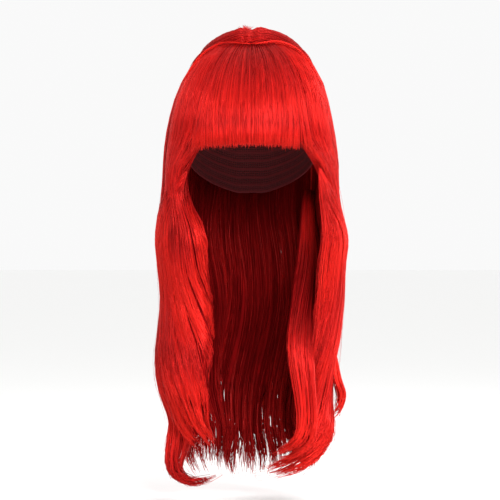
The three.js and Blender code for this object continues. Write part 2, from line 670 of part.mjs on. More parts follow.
// A named mesh from a solid.
function meshOf(name, solid, material) {
  const { vertProperties, triVerts } = solid.getMesh();
  const geometry = new THREE.BufferGeometry();
  geometry.setAttribute("position", new THREE.BufferAttribute(vertProperties, 3));
  geometry.setIndex(new THREE.BufferAttribute(triVerts, 1));
  geometry.computeVertexNormals();
  const mesh = new THREE.Mesh(geometry, material);
  mesh.name = name;
  return mesh;
}

const wig = new THREE.Group();
wig.add(meshOf("cap", makeCap(), net));
wig.add(meshOf("crown", makeCrown(), hair));
wig.add(meshOf("fringe", makeFringe(), hair));

// Each lock of the curtain is cut clear of the crown and of the locks made before it.
const grown = [makeCrown(GROWN_BY)];
for (const [name, shape] of Object.entries(LOCKS)) {
  wig.add(meshOf(name, keptClear(curtainLock(shape), grown), hair));
  grown.push(curtainLock(shape, GROWN_BY));
}

// The two free locks lie against the right curtain, and are cut clear of it too.
wig.add(meshOf("right_inner_lock", keptClear(freeLock(RIGHT_INNER_LOCK), grown), hair));
wig.add(meshOf("right_outer_curl", keptClear(freeLock(RIGHT_OUTER_CURL), grown), hair));

export default wig;
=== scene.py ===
"""A long, loosely waved wig with a straight fringe and a raised crown, worn shape, in metres.

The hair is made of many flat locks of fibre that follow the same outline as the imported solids.
"""
import json
import math

import bpy
import numpy as np
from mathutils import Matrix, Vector

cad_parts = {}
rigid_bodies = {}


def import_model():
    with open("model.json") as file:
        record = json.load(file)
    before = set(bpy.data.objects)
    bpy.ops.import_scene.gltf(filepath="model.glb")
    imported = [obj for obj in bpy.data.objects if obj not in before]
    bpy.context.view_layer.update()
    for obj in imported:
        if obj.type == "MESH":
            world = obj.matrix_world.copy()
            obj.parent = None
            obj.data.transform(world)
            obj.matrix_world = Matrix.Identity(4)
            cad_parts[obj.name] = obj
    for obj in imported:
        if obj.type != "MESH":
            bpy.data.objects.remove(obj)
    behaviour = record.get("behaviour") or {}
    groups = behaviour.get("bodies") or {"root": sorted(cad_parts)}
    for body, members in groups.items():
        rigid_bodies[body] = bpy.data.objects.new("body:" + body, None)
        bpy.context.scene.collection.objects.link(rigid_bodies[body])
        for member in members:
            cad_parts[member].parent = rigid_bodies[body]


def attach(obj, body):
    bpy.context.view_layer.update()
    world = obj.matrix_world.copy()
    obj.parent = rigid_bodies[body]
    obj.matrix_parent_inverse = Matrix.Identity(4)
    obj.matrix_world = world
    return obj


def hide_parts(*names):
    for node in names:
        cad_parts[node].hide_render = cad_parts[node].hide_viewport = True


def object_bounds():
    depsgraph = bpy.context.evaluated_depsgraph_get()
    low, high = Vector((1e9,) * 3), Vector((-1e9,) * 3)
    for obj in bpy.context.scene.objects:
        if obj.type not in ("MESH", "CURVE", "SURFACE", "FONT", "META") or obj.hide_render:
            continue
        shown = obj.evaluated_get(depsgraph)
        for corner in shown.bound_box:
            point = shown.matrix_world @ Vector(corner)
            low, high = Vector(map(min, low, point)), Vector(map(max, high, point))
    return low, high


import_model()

bl_info = {
    "name": "Long waved wig",
    "version": (1, 0, 0),
    "blender": (4, 5, 0),
    "location": "View3D > Sidebar > Wig",
    "description": "Builds a long waved wig with a straight fringe, piece by piece",
    "category": "Add Mesh",
}

CAD_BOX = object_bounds()
BODY = "root"
MM = 0.001

# The wig's own sizes, in metres
HEAD_HALF_BREADTH = 74 * MM
HEAD_HALF_LENGTH = 95 * MM
HEAD_HALF_HEIGHT = 100 * MM
CAP_WALL = 2 * MM
CAP_FRONT_DROP = 45 * MM
CAP_SIDE_DROP = 94 * MM
CAP_NAPE_DROP = 148 * MM
HAIR_BODY = 20 * MM
CROWN_RISE = 24.5 * MM
FALL_LENGTH = 352 * MM
FRINGE_DROP = 103.5 * MM
FRINGE_ARCH = 3.5 * MM
FRINGE_END_WALL = 5 * MM
CURTAIN_WALL = 20 * MM
TIP_WALL = 1.5 * MM
SEAT_GAP = 0.8 * MM
CAP_SIDE = HEAD_HALF_BREADTH + CAP_WALL
CAP_LENGTH = HEAD_HALF_LENGTH + CAP_WALL
CAP_HEIGHT = HEAD_HALF_HEIGHT + CAP_WALL
HAIR_HALF_WIDTH = CAP_SIDE + 1.25 * HAIR_BODY
HAIR_HALF_DEPTH = CAP_LENGTH + 0.8 * HAIR_BODY


def table(columns, *rows):
    """A table as one array for each named column."""
    values = np.array(rows, float)
    return {name: values[:, i] for i, name in enumerate(columns.split())}


SIDES = ("left", "right", "front", "back")
# The hair's outline: level 0 is the head's top, 1 its widest place and 2 the lowest tip
OUTLINE = table(
    "level left right front back",
    (0.2, 1.0, 1.15, 0.55, 1.3),
    (0.39, 0.95, 1.15, 0.52, 1.25),
    (0.5, 0.86, 1.0, 0.5, 1.15),
    (0.61, 0.77, 0.93, 0.48, 1.05),
    (0.71, 0.74, 0.75, 0.46, 0.95),
    (0.82, 0.7, 0.67, 0.43, 0.85),
    (1.0, 0.8, 0.77, 0.42, 0.8),
    (1.04, 0.85, 0.85, 0.2, 0.78),
    (1.12, 0.9, 0.8, -0.5, 0.6),
    (1.2, 1.05, 1.02, -0.68, 0.4),
    (1.27, 1.17, 1.24, -0.53, 0.25),
    (1.35, 1.05, 1.1, -0.74, 0.1),
    (1.45, 0.92, 1.05, -1.15, 0.15),
    (1.55, 1.1, 0.9, -0.92, 0.25),
    (1.63, 1.26, 0.7, -0.6, 0.1),
    (1.73, 1.0, 0.5, -0.9, -0.2),
    (1.81, 0.32, 0.42, -1.4, -0.6),
    (1.91, -0.1, 0.15, -1.75, -1.1),
    (2.0, -0.6, -0.3, -2.2, -1.7),
)
CROWN_FORM = table(
    "share left right front back",
    (0.0, 1.0, 1.0, 1.0, 1.0),
    (0.3, 1.0, 1.05, 1.02, 1.02),
    (0.6, 0.96, 1.06, 0.98, 1.04),
    (0.85, 0.88, 1.0, 0.78, 0.93),
    (1.0, 0.75, 0.89, 0.48, 0.8),
)
RIDGE_LINE = table(
    "turn level",
    (0, 0.2), (40, 0.24), (75, 0.34), (110, 0.45), (150, 0.6), (180, 0.64),
)
LEFT_CURTAIN_EDGE = table(
    "level out",
    (1.0, 0.61), (1.03, 0.68), (1.09, 0.71), (1.14, 0.69), (1.17, 0.63), (1.21, 0.53),
    (1.25, 0.46), (1.32, 0.44), (1.39, 0.46), (1.43, 0.42), (1.51, 0.4), (1.58, 0.36),
    (1.65, 0.42), (1.72, 0.43), (1.77, 0.5),
)
RIGHT_CURTAIN_EDGE = table(
    "level out",
    (1.0, 0.66), (1.03, 0.68), (1.07, 0.74), (1.12, 0.8), (1.15, 0.81), (1.22, 0.75),
    (1.28, 0.71), (1.4, 0.69), (1.46, 0.67), (1.6, 0.68), (1.77, 0.66),
)

# The locks' free ends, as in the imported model
END_COLUMNS = "level across back face tilt width thick"
LEFT_FRONT_END = table(
    END_COLUMNS,
    (1.81, -0.62, -0.45, -48, 3, 2.3, 0.95),
    (1.85, -0.53, -0.49, -38, 12, 1.75, 0.8),
    (1.885, -0.46, -0.51, -30, 18, 1.2, 0.5),
)
LEFT_TAIL = table(
    END_COLUMNS,
    (1.815, -0.7, -0.12, -88, -6, 1.8, 1.1),
    (1.865, -0.745, -0.2, -84, -8, 1.4, 1.3),
    (1.915, -0.785, -0.25, -80, 2, 1.05, 1.0),
    (1.95, -0.79, -0.27, -80, 24, 0.8, 0.75),
    (1.97, -0.72, -0.29, -80, 55, 0.65, 0.5),
    (1.985, -0.6, -0.31, -80, 82, 0.5, 0.38),
    (1.978, -0.47, -0.32, -80, 101, 0.35, 0.27),
    (1.955, -0.31, -0.33, -80, 112, 0.08, 0.08),
)
LEFT_BACK_END = table(
    END_COLUMNS,
    (1.9, -0.53, 0.48, -137, 3, 2.9, 0.9),
    (1.945, -0.49, 0.46, -137, 6, 2.5, 0.7),
    (1.985, -0.45, 0.44, -137, 8, 1.7, 0.3),
)
RIGHT_FRONT_END = table(
    END_COLUMNS,
    (1.82, 0.75, -0.24, 58, -4, 2.1, 0.95),
    (1.865, 0.675, -0.33, 40, -20, 1.6, 0.9),
    (1.9, 0.58, -0.4, 20, -46, 1.25, 0.8),
    (1.927, 0.44, -0.43, 10, -64, 1.0, 0.6),
    (1.947, 0.26, -0.45, 4, -76, 0.75, 0.4),
    (1.957, 0.02, -0.46, 0, -90, 0.2, 0.1),
)
RIGHT_SIDE_END = table(
    END_COLUMNS,
    (1.83, 0.75, 0.24, 111, -4, 1.9, 0.85),
    (1.87, 0.71, 0.21, 108, -12, 1.5, 0.7),
    (1.91, 0.64, 0.18, 105, -22, 1.0, 0.45),
    (1.935, 0.58, 0.16, 105, -30, 0.5, 0.2),
)
RIGHT_BACK_END = table(
    END_COLUMNS,
    (1.9, 0.53, 0.48, 137, -3, 2.9, 0.9),
    (1.945, 0.49, 0.46, 137, -6, 2.5, 0.7),
    (1.975, 0.45, 0.44, 137, -8, 1.7, 0.3),
)
BACK_MIDDLE_END = table(
    END_COLUMNS,
    (1.92, 0, 0.6, 180, 0, 3.1, 0.9),
    (1.965, 0, 0.57, 180, 0, 2.7, 0.7),
    (1.995, 0, 0.55, 180, 0, 2.0, 0.3),
)
RIGHT_INNER_LOCK = table(
    END_COLUMNS,
    (1.12, 0.6, 0.3, 60, 0, 0.8, 0.5),
    (1.3, 0.58, 0.1, 60, -4, 1.3, 0.8),
    (1.45, 0.53, -0.16, 40, -6, 1.3, 0.9),
    (1.58, 0.5, -0.42, 25, -2, 1.45, 0.8),
    (1.7, 0.54, -0.5, 25, 6, 1.15, 0.8),
    (1.79, 0.57, -0.53, 20, 4, 1.0, 0.75),
    (1.845, 0.55, -0.55, 10, -18, 0.95, 0.65),
    (1.878, 0.46, -0.56, 0, -50, 0.85, 0.5),
    (1.893, 0.34, -0.565, 0, -70, 0.7, 0.35),
    (1.9, 0.18, -0.57, 0, -80, 0.2, 0.1),
)
RIGHT_OUTER_CURL = table(
    END_COLUMNS,
    (1.61, 0.86, -0.1, 70, 0, 0.4, 0.25),
    (1.68, 0.885, -0.12, 70, 6, 0.8, 0.45),
    (1.73, 0.93, -0.13, 70, 3, 0.8, 0.5),
    (1.77, 0.9, -0.14, 70, -22, 0.6, 0.4),
    (1.795, 0.84, -0.15, 70, -48, 0.15, 0.1),
)

FRINGE_LEFT_TURN = -36
FRINGE_RIGHT_TURN = 38
LEFT_FRONT_REAR_TURN = -80
LEFT_SIDE_REAR_TURN = -118
LEFT_BACK_REAR_TURN = -158
RIGHT_BACK_REAR_TURN = 158
RIGHT_SIDE_REAR_TURN = 124
RIGHT_FRONT_REAR_TURN = 98
# How far the edges between locks wander, in degrees, and how many half waves they make
LOCK_WAVE = 4
LOCK_WAVES = 3.2
# How thick a lock stays at its edges, and how much of the thinning its outer face takes on the
# head and below it
EDGE_FULLNESS = 0.4
EDGE_ROUNDNESS = 0.6
INNER_PULL = 0.4
OUTER_PULL_ABOVE = 0.12
OUTER_PULL_BELOW = 0.5
# A free end's sections are lenses that stop a little short of a full half turn at their edges
LENS_TURN = 0.44 * math.pi

SECTION_STEPS = 28
LEVELS_OVER_HEAD = 16
LEVELS_BELOW_HEAD = 44
STEPS_ALONG_END = 30


def smoothstep(value, low, high):
    t = np.clip((np.asarray(value, float) - low) / (high - low), 0, 1)
    return t * t * (3 - 2 * t)


def unit(vectors):
    """The same directions, each one long."""
    return vectors / np.maximum(np.linalg.norm(vectors, axis=-1, keepdims=True), 1e-9)


def read(rows, key, column, at):
    """A column's value between two rows, on a smooth curve through the rows."""
    keys, values = rows[key], rows[column]
    last = len(keys) - 1
    at = np.clip(np.asarray(at, float), keys[0], keys[-1])
    i = np.clip(np.searchsorted(keys, at, side="right") - 1, 0, last - 1)
    before, after = np.maximum(np.arange(last + 1) - 1, 0), np.minimum(np.arange(last + 1) + 1, last)
    slopes = (values[after] - values[before]) / (keys[after] - keys[before])
    span = keys[i + 1] - keys[i]
    t = (at - keys[i]) / span
    blend = t * t * (3 - 2 * t)
    leave = t * (1 - t) ** 2 * span * slopes[i]
    arrive = t * t * (1 - t) * span * slopes[i + 1]
    return values[i] * (1 - blend) + values[i + 1] * blend + leave - arrive


def point_at(turn, level, left, right, front, back):
    """A point that stands off the cap's outside by the given distances, at a turn and a level."""
    angle = np.radians(turn)
    side = np.where(np.sin(angle) < 0, left, right)
    along = np.where(np.cos(angle) > 0, front, back)
    polar = np.minimum(level, 1) * math.pi / 2
    round_ = np.where(level < 1, np.sin(polar), 1.0)
    up = side * np.sin(angle) ** 2 + along * np.cos(angle) ** 2
    fall = np.maximum(level - 1, 0) * FALL_LENGTH
    x = (CAP_SIDE + side) * round_ * np.sin(angle)
    y = -(CAP_LENGTH + along) * round_ * np.cos(angle)
    z = (CAP_HEIGHT + up) * np.cos(polar) - HEAD_HALF_HEIGHT - fall
    return np.stack(np.broadcast_arrays(x, y, z), axis=-1)


def outline_at(level):
    return [HAIR_BODY * read(OUTLINE, "level", name, level) for name in SIDES]


def inside_at(level):
    """The hair's inner face: on the cap over the head, one wall inside the outline below."""
    nape = 1 + (CAP_NAPE_DROP - HEAD_HALF_HEIGHT) / FALL_LENGTH
    left, right, front, back = [values - CURTAIN_WALL for values in outline_at(level)]
    on_cap = np.where(level <= nape, SEAT_GAP, -1.0)
    front_on_cap = np.where(level <= 1, SEAT_GAP, -1.0)
    return [
        np.maximum(left, on_cap),
        np.maximum(right, on_cap),
        np.maximum(front, front_on_cap),
        np.maximum(back, on_cap),
    ]


def ridge_level(turn):
    turn = np.abs(turn)
    return read(RIDGE_LINE, "turn", "level", np.minimum(turn, 360 - turn))


def boundary(turn):
    def at(level):
        below = smoothstep(level, 1, 1.25)
        return turn + LOCK_WAVE * below * np.sin(LOCK_WAVES * math.pi * (level - 1))
    return at


def level_of(rings):
    """The level of each of a lock's sections, by its middle's height."""
    return 1 + (-rings.mean(axis=1)[:, 2] - HEAD_HALF_HEIGHT) / FALL_LENGTH


def inner_share(pull, level):
    """Where a lock's inner face lies between the hair's outside, at 0, and its inside, at 1."""
    return 1 - pull * INNER_PULL * smoothstep(level, 1, 1.2)


def curtain_edge(rows, fringe_turn):
    side = 0 if fringe_turn < 0 else 1

    def at(level):
        outline, inside = outline_at(level)[side], inside_at(level)[side]
        inner = outline + (inside - outline) * inner_share(1 - EDGE_FULLNESS, level)
        out = read(rows, "level", "out", level) * (CAP_SIDE + outline)
        turn = math.copysign(1, fringe_turn) * np.degrees(np.arcsin(out / (CAP_SIDE + inner)))
        blend = smoothstep(level, 1, 1.03)
        return fringe_turn * (1 - blend) + turn * blend
    return at


def edge_pull(u):
    """How far a lock's faces draw together, from its full thickness in the middle to its edges."""
    return (1 - EDGE_FULLNESS) * (1 - np.abs(np.sin(math.pi * u)) ** EDGE_ROUNDNESS)


def curtain_rings(front_turn, rear_turn, last_level, end):
    """The sections of a lock of the curtain, each a closed ring of points, from top to tip."""
    u = np.linspace(0, 1, SECTION_STEPS // 2 + 1)
    pull = edge_pull(u)
    rings = []
    over = np.linspace(0, 1, LEVELS_OVER_HEAD, endpoint=False)
    below = np.linspace(1, last_level, LEVELS_BELOW_HEAD)
    for share in list(over) + list(below):
        if share < 1:
            near = 0.5 + 0.5 * share
            turn = front_turn(near) + (rear_turn(near) - front_turn(near)) * u
            top = ridge_level(turn)
            level = top + (1 - top) * share
        else:
            turn = front_turn(share) + (rear_turn(share) - front_turn(share)) * u
            level = np.full_like(u, share)
        lower = smoothstep(level, 0.3, 1)
        outer_pull = pull * (OUTER_PULL_ABOVE + (OUTER_PULL_BELOW - OUTER_PULL_ABOVE) * lower)
        inner_pull = inner_share(pull, level)
        outline, inside = outline_at(level), inside_at(level)
        outer = point_at(turn, level, *[a + (b - a) * outer_pull for a, b in zip(outline, inside)])
        inner = point_at(turn, level, *[a + (b - a) * inner_pull for a, b in zip(outline, inside)])
        rings.append(np.concatenate([outer, inner[::-1]]))
    towards = 1 if rear_turn(1.0) > front_turn(1.0) else -1
    rings += swept_rings(end, towards, STEPS_ALONG_END)
    return np.array(rings)


def swept_rings(rows, towards, count):
    """The sections along a free end, each a closed ring of points."""
    order = {**rows, "order": np.arange(len(rows["level"]), dtype=float)}
    rings = []
    for at in np.linspace(0, len(rows["level"]) - 1, count):
        level, across, back, face, tilt, width, thick = [
            float(read(order, "order", name, at)) for name in END_COLUMNS.split()
        ]
        centre = np.array([
            across * HAIR_HALF_WIDTH,
            back * HAIR_HALF_DEPTH,
            -HEAD_HALF_HEIGHT - (level - 1) * FALL_LENGTH,
        ])
        face, lean = math.radians(face), math.radians(tilt)
        turned = np.array([
            [math.cos(lean), 0, -math.sin(lean)], [0, 1, 0], [math.sin(lean), 0, math.cos(lean)]])
        outwards = turned @ np.array([math.sin(face), -math.cos(face), 0])
        along = turned @ np.array([math.cos(face), math.sin(face), 0])
        half_width = max(width * CURTAIN_WALL, TIP_WALL) / 2
        half_thick = max(thick * CURTAIN_WALL, TIP_WALL) / 2
        spread = LENS_TURN * np.linspace(-1, 1, SECTION_STEPS // 2 + 1) * towards
        middle = centre + np.outer(half_width * np.sin(spread), along)
        lift = np.outer(half_thick * np.cos(spread), outwards)
        rings.append(np.concatenate([middle + lift, (middle - lift)[::-1]]))
    return rings


def even_rings(rings, count):
    """The same lock with its sections smoothed and spaced evenly along its length."""
    smooth = rings.copy()
    for _ in range(3):
        smooth[1:-1] = 0.25 * smooth[:-2] + 0.5 * smooth[1:-1] + 0.25 * smooth[2:]
    centres = smooth.mean(axis=1)
    steps = np.linalg.norm(np.diff(centres, axis=0), axis=1)
    way = np.concatenate([[0], np.cumsum(steps)])
    wanted = np.linspace(0, way[-1], count)
    i = np.clip(np.searchsorted(way, wanted, side="right") - 1, 0, len(way) - 2)
    t = ((wanted - way[i]) / (way[i + 1] - way[i]))[:, None, None]
    return smooth[i] * (1 - t) + smooth[i + 1] * t


# Colours and materials

def linear(hex_colour):
    """An sRGB hex colour as linear red, green and blue."""
    parts = [int(hex_colour[i:i + 2], 16) / 255 for i in (1, 3, 5)]
    return tuple(c / 12.92 if c <= 0.04045 else ((c + 0.055) / 1.055) ** 2.4 for c in parts)


def add_node(tree, kind, settings=None, links=None):
    """A node with its settings, as attributes or inputs, and links from other nodes' outputs."""
    node = tree.nodes.new(kind)
    for name, value in (settings or {}).items():
        if isinstance(name, int) or name in node.inputs:
            node.inputs[name].default_value = value
        else:
            setattr(node, name, value)
    for name, output in (links or {}).items():
        tree.links.new(output, node.inputs[name])
    return node


def new_material(name):
    material = bpy.data.materials.new(name)
    material.use_nodes = True
    material.node_tree.nodes.clear()
    return material, material.node_tree


# Modacrylic fibre drawn out smooth: a glossy thread with a soft, broad shine along each strand
# Light that has gone into a clear fibre comes out again red, as it does off a tinted metal
FIBRE_IOR = 1.52
FIBRE_ROUGHNESS = 0.3
FIBRE_GLOW = 0.4
FIBRE_EDGE_TINT = (1.0, 0.5, 0.45, 1.0)
FIBRE_SHINE = 0.3
# The fibres are 0.08 mm thick, too fine to show, so the grooves between them are drawn wider
GROOVE_SPACING = 0.35 * MM
GROOVE_LENGTH = 12 * MM
GROOVE_DEPTH = 0.1 * MM
GROOVE_STRENGTH = 0.35
# The tint drifts slowly along the strands, over this width and length and by this much in all
TINT_WIDTH = 8 * MM
TINT_LENGTH = 60 * MM
TINT_DRIFT = 0.3
# Where the half-way colour and the fibre's own lie, between the shade colour and the bright one
MIDDLE_TINT = 0.25
OWN_TINT = 0.5
# The deep hair under the outer strands is in shade and tangled, so it has no shine
MATT_BELOW_TINT = 0.06
GLOSSY_FROM_TINT = 0.3


def fibre_material(name, base, shade, bright):
    """Strands of one fibre colour whose tint differs a little at random and carries painted light and
    shade, with fine grooves along them.
    """
    material, tree = new_material(name)
    output = add_node(tree, "ShaderNodeOutputMaterial")
    tint = add_node(tree, "ShaderNodeAttribute", {"attribute_name": "tint"})
    uv = add_node(tree, "ShaderNodeUVMap", {"uv_map": "strands"})
    along = add_node(
        tree, "ShaderNodeMapping", {"Scale": (1 / TINT_WIDTH, 1 / TINT_LENGTH, 1)},
        {"Vector": uv.outputs["UV"]})
    drift = add_node(
        tree, "ShaderNodeTexNoise", {"noise_dimensions": "2D", "Scale": 1.0, "Detail": 3.0},
        {"Vector": along.outputs["Vector"]})
    level = add_node(
        tree, "ShaderNodeMath", {"operation": "MULTIPLY_ADD", 1: TINT_DRIFT, 2: -TINT_DRIFT / 2},
        {0: drift.outputs["Fac"]})
    shift = add_node(
        tree, "ShaderNodeMath", {"operation": "ADD", "use_clamp": True},
        {0: tint.outputs["Fac"], 1: level.outputs["Value"]})
    ramp = add_node(tree, "ShaderNodeValToRGB", {}, {"Fac": shift.outputs["Value"]})
    ramp.color_ramp.elements[0].color = (*shade, 1)
    ramp.color_ramp.elements[1].color = (*bright, 1)
    ramp.color_ramp.elements.new(MIDDLE_TINT).color = (*[(a + b) / 2 for a, b in zip(shade, base)], 1)
    ramp.color_ramp.elements.new(OWN_TINT).color = (*base, 1)
    grooves = add_node(
        tree, "ShaderNodeMapping", {"Scale": (1 / GROOVE_SPACING, 1 / GROOVE_LENGTH, 1)},
        {"Vector": uv.outputs["UV"]})
    groove_noise = add_node(
        tree, "ShaderNodeTexNoise", {"noise_dimensions": "2D", "Scale": 1.0, "Detail": 1.0},
        {"Vector": grooves.outputs["Vector"]})
    bump = add_node(
        tree, "ShaderNodeBump", {"Strength": GROOVE_STRENGTH, "Distance": GROOVE_DEPTH},
        {"Height": groove_noise.outputs["Fac"]})
    shader = add_node(
        tree, "ShaderNodeBsdfPrincipled", {"IOR": FIBRE_IOR, "Specular Tint": FIBRE_EDGE_TINT},
        {"Base Color": ramp.outputs["Color"], "Normal": bump.outputs["Normal"]})
    for name, matt, glossy in (
            ("Roughness", 1.0, FIBRE_ROUGHNESS), ("Metallic", 0.0, FIBRE_GLOW),
            ("Specular IOR Level", 0.0, FIBRE_SHINE)):
        blend = add_node(
            tree, "ShaderNodeMapRange",
            {"From Min": MATT_BELOW_TINT, "From Max": GLOSSY_FROM_TINT, "To Min": matt, "To Max": glossy},
            {"Value": tint.outputs["Fac"]})
        tree.links.new(blend.outputs["Result"], shader.inputs[name])
    tree.links.new(shader.outputs["BSDF"], output.inputs["Surface"])
    return material


# Strands

def surface_normals(rings):
    """The outward direction at each point of a lock's sections."""
    along = np.gradient(rings, axis=0)
    around = np.roll(rings, -1, axis=1) - np.roll(rings, 1, axis=1)
    normals = np.cross(along, around)
    length = np.linalg.norm(normals, axis=2, keepdims=True)
    normals = normals / np.maximum(length, 1e-12)
    out = rings - rings.mean(axis=1, keepdims=True)
    sign = np.sign((normals * out).sum(axis=(1, 2), keepdims=True))
    return normals * np.where(sign == 0, 1, sign)


def on_surface(rings, normals, around, along):
    """Points and outward directions at places round a lock, 0 to 1, and along it, 0 to 1."""
    rows, columns = rings.shape[:2]
    v = np.clip(along, 0, 1) * (rows - 1)
    i = np.clip(v.astype(int), 0, rows - 2)
    t = (v - i)[..., None]
    u = np.mod(around, 1) * columns
    j = u.astype(int) % columns
    s = (u - np.floor(u))[..., None]
    after = (j + 1) % columns

    def blend(grid):
        top = grid[i, j] * (1 - s) + grid[i, after] * s
        bottom = grid[i + 1, j] * (1 - s) + grid[i + 1, after] * s
        return top * (1 - t) + bottom * t

    return blend(rings), unit(blend(normals))


def strand_grid(points, out, widths, heights):
    """The corners of each strand's three-sided section, along the strand."""
    ahead = unit(np.gradient(points, axis=1))
    out = unit(out - (out * ahead).sum(axis=2, keepdims=True) * ahead)
    across = np.cross(ahead, out)
    left = points - across * widths[..., None] / 2
    right = points + across * widths[..., None] / 2
    top = points + out * heights[..., None]
    return np.stack([left, right, top], axis=2)


def strands_to_mesh(grid, tints, rng):
    """Vertices, faces, tints and UVs of closed three-sided strands."""
    count, length = grid.shape[:2]
    vertices = grid.reshape(-1, 3)
    first = (np.arange(count) * length * 3)[:, None]
    a = first + 3 * np.arange(length - 1)[None, :]
    b = a + 3
    sides = np.stack([
        np.stack([a, b, b + 1, a + 1], axis=-1),
        np.stack([a + 1, b + 1, b + 2, a + 2], axis=-1),
        np.stack([a + 2, b + 2, b, a], axis=-1),
    ], axis=2).reshape(-1, 4)
    last = first[:, 0] + 3 * (length - 1)
    ends = np.concatenate([
        np.stack([first[:, 0], first[:, 0] + 1, first[:, 0] + 2], axis=-1),
        np.stack([last, last + 2, last + 1], axis=-1),
    ])
    middle = grid.mean(axis=2)
    steps = np.linalg.norm(np.diff(middle, axis=1), axis=2)
    way = np.concatenate([np.zeros((count, 1)), np.cumsum(steps, axis=1)], axis=1)
    width = np.linalg.norm(grid[:, :, 1] - grid[:, :, 0], axis=2)
    offset = rng.uniform(0, 1, (count, 1))
    tints = np.broadcast_to(tints.reshape(count, -1), (count, length))
    us = np.stack([offset + 0 * width, offset + width, offset + width / 2], axis=2)
    vs = np.repeat((way + rng.uniform(0, 1, (count, 1)))[:, :, None], 3, axis=2)
    uvs = np.stack([us, vs], axis=-1).reshape(-1, 2)
    return {
        "vertices": vertices, "quads": sides, "triangles": ends, "uvs": uvs,
        "tints": np.repeat(tints.ravel(), 3),
    }


def core_mesh(rings, tint):
    """The closed body under the strands, from a lock's sections."""
    rows, columns = rings.shape[:2]
    vertices = rings.reshape(-1, 3)
    i = np.arange(rows - 1)[:, None] * columns
    j = np.arange(columns)[None, :]
    after = (j + 1) % columns
    quads = np.stack([i + j, i + after, i + columns + after, i + columns + j], axis=-1).reshape(-1, 4)
    last = (rows - 1) * columns
    middle = len(vertices)
    vertices = np.concatenate([vertices, rings[:1].mean(axis=1), rings[-1:].mean(axis=1)])
    ring = np.arange(columns)
    top = np.stack([ring, np.full(columns, middle), (ring + 1) % columns], axis=-1)
    bottom = np.stack([last + ring, last + (ring + 1) % columns, np.full(columns, middle + 1)], axis=-1)
    triangles = np.concatenate([top, bottom])
    sample = vertices[quads]
    volume = (sample[:, 0] * np.cross(sample[:, 1] - sample[:, 0], sample[:, 2] - sample[:, 0])).sum()
    if volume < 0:
        quads, triangles = quads[:, ::-1], triangles[:, ::-1]
    around = np.linalg.norm(np.roll(rings, -1, axis=1) - rings, axis=2)
    us = np.cumsum(around, axis=1)
    steps = np.linalg.norm(np.diff(rings.mean(axis=1), axis=0), axis=1)
    vs = np.repeat(np.concatenate([[0], np.cumsum(steps)])[:, None], columns, axis=1)
    uvs = np.concatenate([np.stack([us, vs], axis=-1).reshape(-1, 2), np.zeros((2, 2))])
    return {
        "vertices": vertices, "quads": quads, "triangles": triangles, "uvs": uvs,
        "tints": np.full(len(vertices), tint),
    }


def make_piece(name, parts, material):
    """One object from several closed parts, shaded smooth."""
    offsets = np.cumsum([0] + [len(part["vertices"]) for part in parts])
    vertices = np.concatenate([part["vertices"] for part in parts])
    quads = np.concatenate([part["quads"] + offset for part, offset in zip(parts, offsets)])
    triangles = np.concatenate([part["triangles"] + offset for part, offset in zip(parts, offsets)])
    uvs = np.concatenate([part["uvs"] for part in parts])
    tints = np.concatenate([part["tints"] for part in parts])
    corners = np.concatenate([quads.ravel(), triangles.ravel()]).astype(np.int32)
    sizes = np.concatenate([np.full(len(quads), 4), np.full(len(triangles), 3)]).astype(np.int32)
    starts = np.concatenate([[0], np.cumsum(sizes)[:-1]]).astype(np.int32)
    mesh = bpy.data.meshes.new(name)
    mesh.vertices.add(len(vertices))
    mesh.vertices.foreach_set("co", vertices.astype(np.float32).ravel())
    mesh.loops.add(len(corners))
    mesh.loops.foreach_set("vertex_index", corners)
    mesh.polygons.add(len(sizes))
    mesh.polygons.foreach_set("loop_start", starts)
    mesh.update(calc_edges=True)
    mesh.polygons.foreach_set("use_smooth", np.ones(len(sizes), bool))
    layer = mesh.uv_layers.new(name="strands")
    layer.data.foreach_set("uv", uvs[corners].astype(np.float32).ravel())
    attribute = mesh.attributes.new("tint", "FLOAT", "POINT")
    attribute.data.foreach_set("value", tints.astype(np.float32))
    mesh.materials.append(material)
    mesh.update()
    if mesh.validate():
        raise RuntimeError(name + " has broken faces")
    piece = bpy.data.objects.new(name, mesh)
    bpy.context.scene.collection.objects.link(piece)
    return piece


def place_piece(piece, node):
    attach(piece, BODY)
    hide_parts(node)


# Strands on the locks

# How far the strands turn round their lock, as a share of its girth, from front to back
SWEEP = table(
    "level turned",
    (0.9, 0.0), (1.06, 0.0), (1.25, 0.08), (1.45, 0.0), (1.7, -0.18), (1.9, -0.3),
)
# Painted light and shade: how much lighter or darker the strands are painted on their way down, as the
# waves turn to the light and away from it
SHADING = table(
    "level lighter",
    (0.2, -0.22), (0.45, -0.12), (0.75, -0.05), (0.95, -0.1), (1.08, -0.25), (1.14, -0.28),
    (1.19, -0.02), (1.25, 0.2), (1.35, 0.26), (1.44, 0.1), (1.52, -0.16), (1.6, -0.18), (1.68, 0.1),
    (1.75, 0.3), (1.85, 0.4), (2.0, 0.3),
)
# The same painted light and shade for the right curtain and its inner lock, the left curtain's tail and the
# back locks, and painted light on the right outer curl
RIGHT_SHADING = table(
    "level lighter",
    (0.2, -0.12), (0.45, -0.08), (0.75, 0.05), (0.95, -0.05), (1.1, 0.02), (1.22, 0.32),
    (1.36, -0.06), (1.47, -0.06), (1.57, 0.16), (1.64, 0.12), (1.72, 0.0), (1.82, 0.2), (1.9, 0.3),
    (2.0, 0.3),
)
TAIL_SHADING = table(
    "level lighter",
    (0.2, 0.05), (0.75, 0.0), (0.95, -0.12), (1.12, -0.2), (1.27, 0.1), (1.35, 0.2),
    (1.5, -0.1), (1.65, -0.05), (1.78, 0.15), (1.88, 0.0), (1.94, -0.2), (2.0, -0.15),
)
BACK_SHADING = table(
    "level lighter",
    (0.2, -0.1), (0.75, -0.02), (1.1, -0.1), (1.3, 0.08), (1.55, -0.06), (1.75, 0.08), (2.0, 0.1),
)
CURL_SHADING = table("level lighter", (1.6, 0.3), (1.8, 0.4))
